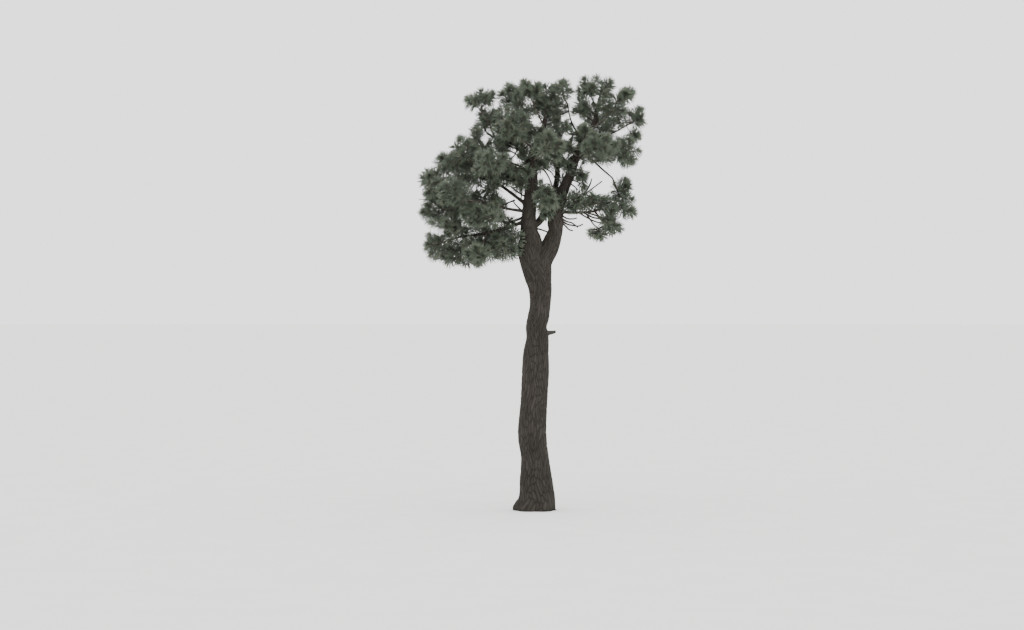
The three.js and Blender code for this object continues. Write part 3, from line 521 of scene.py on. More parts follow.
# Meshes
def rings(along, aside, angle):
    """Ways square to 'along' at each angle round it, counted from 'aside' made square to it."""
    normal = unit(aside - (along * aside).sum(-1, keepdims=True) * along)
    side = np.cross(along, normal)
    return np.cos(angle)[:, None] * normal[..., None, :] + np.sin(angle)[:, None] * side[..., None, :]


def tube_faces(stations, sides):
    """The triangles of a tube of rings, each end closed on its middle, which follows the rings as a last
    point."""
    i, j = np.meshgrid(np.arange(stations - 1), np.arange(sides), indexing="ij")
    k = (j + 1) % sides
    a, b, c, d = i * sides + j, i * sides + k, (i + 1) * sides + k, (i + 1) * sides + j
    walls = np.stack([a, b, c, a, c, d], -1).reshape(-1, 3)
    j = np.arange(sides)
    k = (j + 1) % sides
    first, last = stations * sides, (stations - 1) * sides
    foot = np.stack([np.full(sides, first), k, j], -1)
    head = np.stack([np.full(sides, first + 1), last + j, last + k], -1)
    return np.concatenate([walls, foot, head])


def repeated(faces, count, points):
    """The triangles of one shape for each of 'count' like shapes of so many points."""
    return (faces[None] + (np.arange(count) * points)[:, None, None]).reshape(-1, 3)


def rods(paths, radii, sides):
    """Closed round rods, many at once: at each station of a path, points lie at that station's radius on a
    ring square to the path. Returns vertices and triangles."""
    count, stations = paths.shape[:2]
    angle = 2 * np.pi * np.arange(sides) / sides
    ring = rings(unit(np.gradient(paths, axis=1)), ASIDE, angle)
    skin = (paths[:, :, None] + radii[..., None, None] * ring).reshape(count, -1, 3)
    points = np.concatenate([skin, paths[:, :1], paths[:, -1:]], axis=1)
    return points.reshape(-1, 3), repeated(tube_faces(stations, sides), count, points.shape[1])


def joined(parts):
    """Several lists of vertices and triangles as one."""
    shift = np.cumsum([0] + [len(points) for points, _ in parts])
    faces = [triangles + step for (_, triangles), step in zip(parts, shift)]
    return np.concatenate([points for points, _ in parts]), np.concatenate(faces)


def put_in_scene(name, data):
    """A new object in the scene, at the origin, that holds a mesh, a light or a camera."""
    thing = bpy.data.objects.new(name, data)
    bpy.context.scene.collection.objects.link(thing)
    return thing


def piece(name, points, faces, materials, tone=None, values=None, slot=None, stands_for=()):
    """A mesh object from arrays, which rides on the root body. tone picks each triangle's material, and
    values are numbers kept at the vertices."""
    mesh = bpy.data.meshes.new(name)
    mesh.vertices.add(len(points))
    mesh.vertices.foreach_set("co", points.astype(np.float32).ravel())
    mesh.loops.add(faces.size)
    mesh.loops.foreach_set("vertex_index", faces.astype(np.int32).ravel())
    mesh.polygons.add(len(faces))
    mesh.polygons.foreach_set("loop_start", np.arange(0, faces.size, 3, dtype=np.int32))
    for material in materials:
        mesh.materials.append(material)
    if tone is not None:
        mesh.polygons.foreach_set("material_index", tone.astype(np.int32))
    for key, numbers in (values or {}).items():
        attribute = mesh.attributes.new(key, "FLOAT", "POINT")
        attribute.data.foreach_set("value", numbers.astype(np.float32).ravel())
    mesh.polygons.foreach_set("use_smooth", np.ones(len(faces), dtype=bool))
    mesh.update(calc_edges=True)
    thing = put_in_scene(name, mesh)
    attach(thing, "root")
    if stands_for:
        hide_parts(*stands_for)
    return thing


# Materials
def linear(colour):
    """An sRGB hex colour as linear numbers."""
    parts = [int(colour[i:i + 2], 16) / 255 for i in (1, 3, 5)]
    return (*((c / 12.92 if c <= 0.04045 else ((c + 0.055) / 1.055) ** 2.4) for c in parts), 1.0)


def add_node(tree, kind, settings=None, inputs=None, stops=()):
    """One node. settings are its own values, each input is a value or the socket that runs in to it, and
    stops are the places and the hex colours of a colour ramp."""
    node = tree.nodes.new(kind)
    for key, value in (settings or {}).items():
        setattr(node, key, value)
    for key, value in (inputs or {}).items():
        if isinstance(value, bpy.types.NodeSocket):
            tree.links.new(value, node.inputs[key])
        else:
            node.inputs[key].default_value = value
    for number, (place, colour) in enumerate(stops):
        elements = node.color_ramp.elements
        element = elements[number] if number < len(elements) else elements.new(place)
        element.position = place
        element.color = linear(colour)
    return node


def new_material(name, roughness, specular=0.5):
    """A material with its shader, its output and the coordinates that its patterns read."""
    material = bpy.data.materials.new(name)
    material.use_nodes = True
    tree = material.node_tree
    tree.nodes.clear()
    shader = add_node(tree, "ShaderNodeBsdfPrincipled")
    shader.inputs["Roughness"].default_value = roughness
    shader.inputs["Specular IOR Level"].default_value = specular
    add_node(tree, "ShaderNodeOutputMaterial", inputs={"Surface": shader.outputs["BSDF"]})
    coordinates = add_node(tree, "ShaderNodeTexCoord").outputs["Object"]
    return material, tree, shader, coordinates


def give_colour_and_grain(tree, shader, colour, height, strength, distance):
    """What the finishes share: a colour, where it comes from a pattern, and the fine relief of a height."""
    if colour:
        tree.links.new(colour, shader.inputs["Base Color"])
    bump = add_node(tree, "ShaderNodeBump", inputs={
        "Strength": strength, "Distance": distance, "Height": height})
    tree.links.new(bump.outputs["Normal"], shader.inputs["Normal"])


def old_pine_bark(name, grain, low, high):
    """Old pine bark. Its thick dull plates weather paler on top and keep darker furrows between them, and its
    scaly grain scatters the light, so that it looks dry and rough from any side. Each of low and high holds
    the colours of furrow, plate and worn edge, at the foot and in the crown, where the bark is paler: partly
    younger bark, and partly painted light that offsets the crown's shade on the limbs."""
    material, tree, shader, coordinates = new_material(name, roughness=0.93, specular=0.25)
    rise, shade, youth_and_painted_light = (
        add_node(tree, "ShaderNodeAttribute", {"attribute_name": key}).outputs["Fac"]
        for key in ("rise", "shade", "youth_and_painted_light"))
    scales = add_node(tree, "ShaderNodeTexNoise", inputs={
        "Vector": coordinates, "Scale": 1 / grain, "Detail": 6.0, "Roughness": 0.62})
    weather = add_node(tree, "ShaderNodeTexNoise", inputs={
        "Vector": coordinates, "Scale": 1 / (312.5 * MM), "Detail": 3.0})
    # low blends into high by youth_and_painted_light: younger bark up in the crown, and painted light against
    # the crown's shade there
    below, above = (
        add_node(tree, "ShaderNodeValToRGB", inputs={"Fac": rise}, stops=zip((0.05, 0.55, 1.0), colours))
        for colours in (low, high))
    colour = add_node(tree, "ShaderNodeMix", {"data_type": "RGBA"}, {
        "Factor": youth_and_painted_light, "A": below.outputs["Color"], "B": above.outputs["Color"]}).outputs["Result"]
    layers = [
        (0.8, scales.outputs["Fac"], [(0.32, "#8E8E8E"), (0.62, "#CACACA")]),
        (0.6, weather.outputs["Fac"], [(0.35, "#A8A8A8"), (0.65, "#E0E0E0")]),
        (0.7, shade, [(0.0, "#BCB8B4"), (1.0, "#E4E2E0")]),
    ]
    for share, value, stops in layers:
        layer = add_node(tree, "ShaderNodeValToRGB", inputs={"Fac": value}, stops=stops)
        colour = add_node(tree, "ShaderNodeMix", {"data_type": "RGBA", "blend_type": "MULTIPLY"}, {
            "Factor": share, "A": colour, "B": layer.outputs["Color"]}).outputs["Result"]
    give_colour_and_grain(tree, shader, colour, scales.outputs["Fac"], strength=0.55, distance=3 * MM)
    return material


def twig_bark(name, deep, high):
    """The bark of young shoots. Rough with the scars of old needle scales, it looks dull and ridged."""
    material, tree, shader, coordinates = new_material(name, roughness=0.9, specular=0.25)
    scars = add_node(tree, "ShaderNodeTexNoise", inputs={
        "Vector": coordinates, "Scale": 1 / (6 * MM), "Detail": 4.0, "Roughness": 0.6})
    colour = add_node(tree, "ShaderNodeValToRGB", inputs={"Fac": scars.outputs["Fac"]},
                      stops=[(0.35, deep), (0.65, high)])
    give_colour_and_grain(tree, shader, colour.outputs["Color"], scars.outputs["Fac"],
                          strength=0.6, distance=1.5 * MM)
    return material


def bare_dead_wood(name, deep, high):
    """Dead wood that has lost its bark. The weather has turned it grey, and its grain is drawn out along X,
    the way that the dead limbs run, so it looks dry and cracked."""
    material, tree, shader, coordinates = new_material(name, roughness=0.88, specular=0.3)
    drawn = add_node(tree, "ShaderNodeMapping", inputs={"Vector": coordinates, "Scale": (0.12, 1.0, 1.0)})
    grain = add_node(tree, "ShaderNodeTexNoise", inputs={
        "Vector": drawn.outputs["Vector"], "Scale": 1 / (7 * MM), "Detail": 5.0, "Roughness": 0.6})
    colour = add_node(tree, "ShaderNodeValToRGB", inputs={"Fac": grain.outputs["Fac"]},
                      stops=[(0.3, deep), (0.7, high)])
    give_colour_and_grain(tree, shader, colour.outputs["Color"], grain.outputs["Fac"],
                          strength=0.7, distance=2 * MM)
    return material


def pine_needle(name, colour, roughness=0.5):
    """A living pine needle, a waxy leaf with fine lines of pores. Its plain colour takes a soft sheen."""
    material, tree, shader, coordinates = new_material(name, roughness, specular=0.4)
    shader.inputs["Base Color"].default_value = linear(colour)
    pores = add_node(tree, "ShaderNodeTexNoise", inputs={
        "Vector": coordinates, "Scale": 1 / (4 * MM), "Detail": 2.0})
    give_colour_and_grain(tree, shader, None, pores.outputs["Fac"], strength=0.25, distance=0.5 * MM)
    return material


def pale_matt_floor():
    """A studio floor of pale matt paint, with a faint mottle that keeps it from looking flat."""
    material, tree, shader, coordinates = new_material("pale_matt_floor", roughness=0.95)
    mottle = add_node(tree, "ShaderNodeTexNoise", inputs={"Vector": coordinates, "Scale": 1.5, "Detail": 4.0})
    colour = add_node(tree, "ShaderNodeValToRGB", inputs={"Fac": mottle.outputs["Fac"]},
                      stops=[(0.3, "#EFEFED"), (0.7, "#F4F4F2")])
    tree.links.new(colour.outputs["Color"], shader.inputs["Base Color"])
    return material


# Bark relief
def crack(u, v, wrap, seed):
    """Cracks between cells: one point is scattered in each unit square of (u, v), and the result is how much
    further the second nearest point is than the nearest, which is 0 on a crack, with a chance number of the
    nearest cell. u runs round and meets itself after 'wrap' squares."""
    column, row = np.floor(u), np.floor(v)
    best = np.full(u.shape, FAR)
    second = np.full(u.shape, FAR)
    tone = np.zeros(u.shape)
    for du in (-1, 0, 1):
        for dv in (-1, 0, 1):
            cu, cv = column + du, row + dv
            key = np.mod(cu, wrap)
            pu = cu + INSET + (1 - 2 * INSET) * chance(key, cv, seed)
            pv = cv + INSET + (1 - 2 * INSET) * chance(key, cv, seed + 1)
            far = np.hypot(pu - u, pv - v)
            nearer = far < best
            second = np.where(nearer, best, np.minimum(second, far))
            tone = np.where(nearer, chance(key, cv, seed + 2), tone)
            best = np.where(nearer, far, best)
    return second - best, tone


def waves(rows, angle, v, seed):
    """The sum of sine waves, each of its size, at its turns times the angle, plus its pitch times v, plus its
    share of the seed."""
    return sum(size * np.sin(turns * angle + pitch * v + start * seed) for size, turns, pitch, start in rows)


def bark_relief(length, angle, girth, seed):
    """Relief of plated bark at a length along the limb and an angle round it, as shares of its depth. Plates
    are the cells of a scattered grid that wanders sideways, their edges are rounded into furrows, and each
    plate carries flakes, which are smaller cells, and grit. Returns the height, from about 0 in a furrow to
    1, and the plate's own chance number."""
    columns = max(LEAST_PLATES, round(girth / PLATE_WIDTH))
    tall = PLATE_HEIGHT * girth / columns / PLATE_WIDTH
    v = length / tall
    u = angle / (2 * np.pi) * columns + waves(WANDER_ROUND, angle, v, seed)
    v = v + waves(WANDER_ALONG, angle, v, seed)
    edge, tone = crack(u, v, columns, seed)
    flake, thin = crack(FLAKES[0] * u, FLAKES[1] * v, FLAKES[0] * columns, seed + 5)
    grit, _ = crack(GRAINS[0] * u, GRAINS[1] * v, GRAINS[0] * columns, seed + 9)
    plate = smooth(edge / FURROW)
    height = plate * (PLATE_RISE[0] + PLATE_RISE[1] * tone)
    height = height + plate * smooth(flake / FLAKE_EDGE) * (FLAKE_RISE[0] + FLAKE_RISE[1] * thin)
    return height + GRIT_RISE * grit, tone


def toes(height, across):
    """The toes of the root flare: bumps round the foot at set azimuths that die away above the ground."""
    azimuth = np.arctan2(across[..., 1], across[..., 0])[..., None]
    off = np.abs(azimuth - np.radians(TOE_AZIMUTHS)) % (2 * np.pi)
    lobes = np.exp(-((np.minimum(off, 2 * np.pi - off) / TOE_WIDTH) ** 2)).sum(-1)
    return TOE * np.exp(-height / TOE_HEIGHT) * np.minimum(1, lobes)


def distance_to(points, limb):
    """How far points lie outside a limb's plain skin: the least distance to its axis, less its radius."""
    places, radii = limb.samples(400)
    flat = points.reshape(-1, 3)
    least = np.full(len(flat), FAR)
    for first in range(0, len(flat), MEASURED_AT_ONCE):
        part = flat[first:first + MEASURED_AT_ONCE]
        square = (part**2).sum(1)[:, None] + (places**2).sum(1) - 2 * part @ places.T
        least[first:first + MEASURED_AT_ONCE] = (np.sqrt(np.maximum(square, 0)) - radii).min(1)
    return least.reshape(points.shape[:-1])


def swell(skin, other, reach):
    """How far a skin moves out beside another limb: where that one's skin comes within the reach k, by the
    square of what is left of k over 4k, which rounds the join."""
    near = distance_to(skin, other)
    band = np.clip(reach - np.abs(near), 0, reach)
    band = np.where(near < -reach, 0, band)
    return band**2 / (4 * reach)


def bark_skin(name, limb, material, stands_for, around, rows, depth, seed, span=(0, 1), meets=(), foot=False,
              slot="bark"):
    """The bark of one limb: at a share t along the axis and an angle round it, the skin lies at the axis's
    radius plus the relief, out along that angle. meets holds the limbs that it swells into and how near they
    come. A foot stands level on the ground, with the toes of the root flare."""
    t = np.linspace(*span, rows)
    path = limb.at(t)
    radius = limb.radius(t)
    angle = 2 * np.pi * np.arange(around) / around
    # lengths count from the limb's own foot, so that both pieces of the left stem share their plates
    before = np.linalg.norm(np.diff(limb.at(np.linspace(0, span[0], 200)), axis=0), axis=1).sum()
    step = np.linalg.norm(np.diff(path, axis=0), axis=1)
    length = np.concatenate([[0], np.cumsum(step)]) + before
    girth = 2 * np.pi * limb.radii.max() * GIRTH_SHARE
    height, tone = bark_relief(*np.meshgrid(length, angle, indexing="ij"), girth, seed)
    depths = np.maximum(depth * radius / limb.radii.max(), LEAST_DEPTH * radius)
    width = radius[:, None] + depths[:, None] * (height - 1 + PROUD)
    along = unit(np.gradient(path, axis=0))
    if foot:
        along[0] = UP
    ring = rings(along, np.array([1.0, 0.0, 0.0]) if limb.upright else UP, angle)
    if foot:
        width = width + toes(path[:, None, 2], ring)
    skin = path[:, None] + width[..., None] * ring
    for other, reach in meets:
        skin = skin + swell(skin, other, reach)[..., None] * ring
    points = np.concatenate([skin.reshape(-1, 3), path[:1], path[-1:]])
    if foot:
        points[:around, 2] = 0
        points[-2, 2] = 0
        points[:, 2] = np.maximum(points[:, 2], 0)
    # paler towards the crown: partly younger bark, partly painted light that offsets the crown's shade
    youth_and_painted_light = smooth((points[:, 2] - PALER_BARK_HEIGHTS[0]) / (PALER_BARK_HEIGHTS[1] - PALER_BARK_HEIGHTS[0]))
    values = {"rise": np.append(height, [0, 0]), "shade": np.append(tone, [0, 0]), "youth_and_painted_light": youth_and_painted_light}
    return piece(name, points, tube_faces(rows, around), [material], values=values, slot=slot,
                 stands_for=stands_for)


# Growth
class Brush:
    """One brush of needles: its mass, its number there, its middle, its shoot's direction, its reach, how
    many bundles of needles it has, and how free it stands, from 0 deep in the crown to 1 alone."""

    def __init__(self, mass, number, middle, shoot, reach, bundles):
        self.mass = mass
        self.number = number
        self.middle = middle
        self.shoot = shoot
        self.reach = reach
        self.bundles = bundles
        self.free = 0.0


def grow_mass(index, row, limbs):
    """A mass by the source's rule: its brushes' places lie on a spiral over its space, its stem sags from the
    limb through its middle to the furthest brush, and each other brush has a twig that forks from the stem
    near it. The stem's brush comes first. Returns, for each brush, its number, the path of its stem or twig
    without its shoot, its middle and its shoot, with the mass's centre and radii."""
    _, on, at, centre, radii, tufts, *first = row
    centre = seen(centre)
    radii = np.array(radii) * MM
    limb = limbs[on]
    root = limb.at(limb.share_at(at * MM) if limb.upright else at)
    first_turn = math.radians(first[0] if first else 360 * chance(index, 0, use=FIRST_TURN))
    k, out = spiral(tufts, UNDERSIDE, first_turn)
    share = 1 - LOOSENESS * chance(index, k, use=SHORTFALL) if tufts > 1 else np.zeros(1)
    room = np.maximum(radii - REACH * NEEDLE, LEAST_ROOM * radii)
    middle = centre + room * out * share[:, None]
    order = np.argsort(-np.linalg.norm(middle - root, axis=1), kind="stable")
    last = order[0]
    shoot = unit(unit(middle[last] - root) + out[last] + UPTURN * UP)
    heel = middle[last] - SHOOT * shoot
    bend = root + BEND * ((centre if tufts > 1 else heel) - root)
    bend = bend - SAG * np.linalg.norm(bend - root) * UP
    stem = Limb([root, bend, heel], [1, 1, 1])
    grown = [(last, stem.points, middle[last], shoot)]
    for q in order[1:]:
        fork = min(max(stem.nearest(middle[q]), FORKS[0]), FORKS[1])
        while fork > FORKS[0] and np.linalg.norm(stem.at(fork) - middle[q]) < TWIG_LEAST * SHOOT:
            fork -= FORK_SEARCH
        base = stem.at(fork - FORK_STEP * q)
        turned = unit(OUTWARD * out[q] + ONWARD * unit(middle[q] - base) + UPTURN * UP)
        end = middle[q] - SHOOT * turned
        bent = unit(end - base) @ turned < TWIG_STRAIGHTEST
        if bent or np.linalg.norm(base - middle[q]) < TWIG_SHORTEST * SHOOT:
            continue
        sunk = (base + end) / 2 - TWIG_SAG * np.linalg.norm(end - base) * UP
        grown.append((q, np.array([base, sunk, end]), middle[q], turned))
    return grown, centre, radii


def fine_twig(fork, place, out):
    """A finer brush's shoot and the path that carries it: the twig leaves the wood at 'fork', sags a little,
    and turns out and up to the brush's place."""
    way = place - fork
    shoot = unit(OUTWARD * out + ONWARD * unit(way) + FINE_UPTURN * UP)
    heel = place + FINE_SHOOT[0] * SHOOT * shoot
    bend = (fork + heel) / 2 - FINE_SAG * np.linalg.norm(way) * UP
    return shoot, np.array([fork, bend, heel, place + FINE_SHOOT[1] * SHOOT * shoot])


def in_gap(points, grow=0.0):
    """Whether points, as seen, lie in a gap where the sky shows: inside a tilted ellipse whose half sizes are
    made larger by 'grow'."""
    places = as_seen(points)
    inside = np.zeros(places.shape[:-1], bool)
    for x, z, half_x, half_z, tilt in SKY_GAPS:
        off = places - np.array([x, z]) * MM
        cos, sin = math.cos(math.radians(tilt)), math.sin(math.radians(tilt))
        along = off[..., 0] * cos + off[..., 1] * sin
        across = off[..., 1] * cos - off[..., 0] * sin
        width = np.maximum(half_x * MM + grow, 1 * MM)
        height = np.maximum(half_z * MM + grow, 1 * MM)
        inside |= (along / width) ** 2 + (across / height) ** 2 < 1
    return inside


class Crown:
    """The crown as it grows: its brushes so far and, by kind, the paths of the twigs that lead to them."""

    def __init__(self, limbs):
        samples = [limb.samples() for limb in limbs.values()]
        self.limb_points = np.concatenate([points for points, _ in samples])
        self.limb_radii = np.concatenate([radii for _, radii in samples])
        bearing = [row[0] for row in BOUGHS] + ["left_leader", "right_leader", "middle_leader"]
        self.bearing = np.concatenate([limbs[name].samples(40)[0] for name in bearing])
        self.masses = [grow_mass(index, row, limbs) for index, row in enumerate(MASSES)]
        self.centres = np.array([centre for _, centre, _ in self.masses])
        self.brushes = []
        self.middles = np.zeros((0, 3))
        self.in_view = np.zeros((0, 2))
        self.wood = np.zeros((0, 3))
        self.paths = {kind: [] for kind in TWIG_SHAPES}

    def clear(self, point, room):
        """Whether a point keeps that far from every limb's skin, out of the sky gaps and inside the solids'
        box by all but OVERHANG of a finer brush's reach."""
        low, high = (np.array(corner) for corner in cad_box)
        inside = FINE_REACH * NEEDLE - OVERHANG
        if (point < low + inside).any() or (point > high - inside).any():
            return False
        off = (np.linalg.norm(self.limb_points - point, axis=1) - self.limb_radii).min()
        return off > room and not in_gap(point, GAP_ROOM)

    def crowded(self, point):
        """Whether a brush would stand too near another, or behind and before too many as seen."""
        if np.linalg.norm(self.middles - point, axis=1).min() < SPACING:
            return True
        in_line = np.linalg.norm(self.in_view - as_seen(point), axis=1) < VIEW_SPACING
        return in_line.sum() >= MOST_IN_LINE

    def add(self, kind, path, brush):
        """One brush and the twig that leads to it, which later twigs may leave."""
        self.brushes.append(brush)
        self.middles = np.vstack([self.middles, brush.middle])
        self.in_view = np.vstack([self.in_view, as_seen(brush.middle)])
        self.wood = np.vstack([self.wood, spline(path[:-1], np.linspace(*WOOD_SPAN))])
        self.paths[kind].append((brush.mass, path))

    def grow_main(self):
        """The stems, and the twigs and brushes that the source's rule gives."""
        for mass, (grown, _, _) in enumerate(self.masses):
            for place, (number, path, middle, shoot) in enumerate(grown):
                if place == 0 or self.clear(middle, MAIN_ROOM):
                    path = np.vstack([path, middle + MAIN_TIP * SHOOT * shoot])
                    brush = Brush(mass, number, middle, shoot, MAIN_REACH * NEEDLE, MAIN_BUNDLES)
                    self.add("twig" if place else "stem", path, brush)

    def fine_spots(self):
        """The finer brushes to come, by the source's spiral on shells inside each mass and each inner mass:
        for each, the mass it belongs to, its number, its place and its way out."""
        spaces = [(centre, radii, SHELLS) for _, centre, radii in self.masses]
        for row in INNER_MASSES:
            shells = [(shell, round(part * row[6])) for shell, part in INNER_SHELLS]
            spaces.append((seen(row[:3]), np.array(row[3:6]) * MM, shells))
        spots = []
        for number, (centre, radii, shells) in enumerate(spaces):
            room = np.maximum(radii - REACH * NEEDLE, LEAST_FINE_ROOM * radii)
            for shell, tufts in shells:
                mark = round(10 * shell)
                k, out = spiral(tufts, FINE_UNDERSIDE, 2 * np.pi * chance(number, mark, use=FINE_TURN))
                share = shell * (1 - FINE_LOOSENESS * chance(number, k, use=FINE_SHORTFALL + mark))
                # numbers that no other finer brush has: the space's hundred, the shell's step and its own
                own = 100 * number + round(40 * shell) + k
                for one, place, way in zip(own, centre + room * out * share[:, None], out):
                    owner = int(np.argmin(np.linalg.norm(self.centres - place, axis=1)))
                    spots.append((owner, one, place, way))
        return spots

    def grow_finer(self):
        """Finer brushes, each on a twig from the nearest wood that is far enough off. A spot that no wood
        reaches yet is tried again once more twigs have grown."""
        spots = self.fine_spots()
        for _ in range(TRIES):
            waiting = []
            for spot in spots:
                owner, number, place, out = spot
                if self.crowded(place) or not self.clear(place, FINE_ROOM):
                    continue
                wood = np.concatenate([self.wood, self.bearing])
                far = np.linalg.norm(wood - place, axis=1)
                far = np.where(far < TWIG_REACH[0], FAR, far)
                near = int(np.argmin(far))
                if far[near] > TWIG_REACH[1]:
                    waiting.append(spot)
                    continue
                shoot, path = fine_twig(wood[near], place, out)
                self.add("side", path, Brush(owner, number, place, shoot, FINE_REACH * NEEDLE, FINE_BUNDLES))
            spots = waiting

    def share_out_needles(self):
        """A brush that stands free, in space or as seen, has more needles than one that others hide."""
        for brush in self.brushes:
            near = (np.linalg.norm(self.middles - brush.middle, axis=1) < CROWD_REACH).sum() - 1
            beside = (np.linalg.norm(self.in_view - as_seen(brush.middle), axis=1) < SEEN_REACH).sum() - 1
            near = min(near, beside)
            share = next((share for most, share in CROWDS if near <= most), DEEP_SHARE)
            brush.bundles = round(share * brush.bundles)
            # how free a brush stands also sets the painted light and shade of its needles' tone
            brush.free = max(0.0, 1 - near / CROWD_MOST)


# Needles
def needle_mesh(brushes, draw):
    """Every needle of several brushes at once. The bundles climb the shoot in a spiral, each a golden turn
    round from the last, lean from backwards at the shoot's heel to forwards at its tip, and end on a ball
    round the brush's middle; the needles of a bundle part a little. Each needle is a closed sliver of four
    faces: a point at its foot, an edge across it at BELLY of its length, and a point at its tip that its
    weight pulls down. Returns vertices, triangles and, for each needle, the number of its brush and a chance
    number."""
    counts = np.array([brush.bundles for brush in brushes])
    owner = np.repeat(np.arange(len(brushes)), counts)
    order = np.arange(len(owner)) - np.repeat(np.cumsum(counts) - counts, counts)
    middle = np.array([brush.middle for brush in brushes])[owner]
    shoot = np.array([brush.shoot for brush in brushes])[owner]
    reach = np.array([brush.reach for brush in brushes])[owner]
    count = len(owner)
    square = unit(np.cross(shoot, OFF_SHOOTS))
    across = np.cross(shoot, square)
    climb = (order + draw.uniform(0, 1, count)) / counts[owner]
    place = SHOOT_SPAN[0] + (SHOOT_SPAN[1] - SHOOT_SPAN[0]) * climb
    turn = order * GOLDEN_TURN + draw.normal(0, TURN_VARIES, count)
    lean = LEANS[0] + (LEANS[1] - LEANS[0]) * climb + draw.normal(0, LEAN_VARIES, count)
    ball = reach * draw.uniform(*LENGTHS, count)
    radial = np.cos(turn)[:, None] * square + np.sin(turn)[:, None] * across
    way = np.cos(lean)[:, None] * shoot + np.sin(lean)[:, None] * radial
    lead = place * SHOOT * reach / NEEDLE
    foot = middle + lead[:, None] * shoot
    along = lead * np.cos(lean)
    length = -along + np.sqrt(np.maximum(along**2 + ball**2 - lead**2, MM**2))

    owner, foot, way, length = (np.repeat(values, BUNDLE, axis=0) for values in (owner, foot, way, length))
    count = len(owner)
    way = unit(way + draw.normal(0, SPREAD, (count, 3)))
    length = length * draw.uniform(SHORTER, 1.0, count)
    tip = foot + length[:, None] * way
    tip[:, 2] -= DROOP[1] * length * np.sqrt(1 - way[:, 2] ** 2)
    belly = foot + BELLY * length[:, None] * way
    belly[:, 2] -= DROOP[0] * length
    radius = NEEDLE_RADIUS * draw.uniform(1 - RADIUS_VARIES, 1 + RADIUS_VARIES, count)
    normal = unit(np.cross(way, unit(draw.normal(0, 1, (count, 3)))))
    flank = FLANK * np.cross(way, normal)
    edge = belly[:, None] + radius[:, None, None] * np.stack([normal + flank, -normal + flank], 1)
    ragged = draw.normal(*RAGGED, count)
    keep = ~(in_gap(tip, ragged) | in_gap(foot + LOOK_AT * (tip - foot), ragged))
    points = np.concatenate([foot[:, None], edge, tip[:, None]], axis=1)[keep]
    faces = repeated(SLIVER, len(points), points.shape[1])
    return points.reshape(-1, 3), faces, owner[keep], draw.uniform(0, 1, count)[keep]


def needle_tones(brushes, owner, pick):
    """Each needle's tone: the deep, grey-green or light one by what its brush, chance and how free its brush
    stands add up to, or for a few by chance the yellowing one. How free its brush stands paints shade deep in
    the crown and light out in the open."""
    spray = np.array([chance(brush.mass, brush.number, use=SPRAY_TONE) for brush in brushes])
    free = np.array([brush.free for brush in brushes])
    # the free share is painted light and shade: needles deep in the crown darker, those out in the open
    # lighter
    mixed = TONE_SHARES[0] * spray[owner] + TONE_SHARES[1] * pick + TONE_SHARES[2] * free[owner]
    tone = np.select([mixed < TONE_STEPS[0], mixed < TONE_STEPS[1]], [0, 1], 2)
    return np.where(pick < YELLOWING, 3, tone)


def region_pieces(crown, number, region, members, bark, needles):
    """The twigs of some masses, joined into one piece, and their needles, joined into another."""
    parts = []
    for kind, (stations, sides, radii) in TWIG_SHAPES.items():
        paths = [path for mass, path in crown.paths[kind] if mass in members]
        if paths:
            lines = spline(np.array(paths), np.linspace(0, 1, stations))
            widths = np.tile(np.linspace(*radii, stations), (len(paths), 1))
            widths[:, -1] *= TIP_TAPER
            parts.append(rods(lines, widths, sides))
    piece(region + "_twigs", *joined(parts), [bark], slot="bark")
    brushes = [brush for brush in crown.brushes if brush.mass in members]
    points, faces, owner, pick = needle_mesh(brushes, np.random.default_rng(SEED + number))
    tone = needle_tones(brushes, owner, pick)
    piece(region + "_needles", points, faces, needles, tone=np.repeat(tone, len(SLIVER)), slot="needles",
          stands_for=[MASSES[mass][0] for mass in members])
    print(region, len(brushes), "brushes", len(faces), "needle triangles")


# The limbs' bark
def dress_trunk_and_leaders(limbs, bark):
    """The trunk's bark up to the fork, and that of the three leaders from there on."""
    trunk, right_fork, stub = (limbs[name] for name in ("trunk", "right_fork", "dead_stub"))
    fork = limbs["left_leader"].start
    joins = {"left_leader": [], "right_leader": []}
    for name, parent, _, _ in BOUGHS:
        joins[parent].append((limbs[name], BOUGH_JOIN))
    bark_skin("trunk_bark", trunk, bark, ["trunk"], around=190, rows=500, depth=BARK_DEPTH, seed=3,
              span=(0, fork), meets=[(right_fork, FORK_JOIN), (stub, STUB_JOIN)], foot=True)
    bark_skin("left_leader_bark", trunk, bark, ["left_leader"], around=110, rows=260, depth=BARK_DEPTH,
              seed=3, span=(fork, 1), meets=joins["left_leader"])
    bark_skin("right_leader_bark", right_fork, bark, ["right_leader"], around=120, rows=380,
              depth=0.8 * BARK_DEPTH, seed=7, meets=[(trunk, FORK_JOIN), *joins["right_leader"]])
    bark_skin("middle_leader_bark", limbs["middle_leader"], bark, ["middle_leader"], around=64, rows=130,
              depth=0.7 * BARK_DEPTH, seed=9, meets=[(trunk, MIDDLE_JOIN)])


def dress_boughs(limbs, bark):
    """The bark of each bough, which swells into its stem."""
    stems = {"left_leader": limbs["trunk"], "right_leader": limbs["right_fork"]}
    for order, (name, parent, _, _) in enumerate(BOUGHS):
        bark_skin(name + "_bark", limbs[name], bark, [name], around=30, rows=130, depth=BOUGH_BARK_DEPTH,
                  seed=20 + order, meets=[(stems[parent], BOUGH_JOIN)])


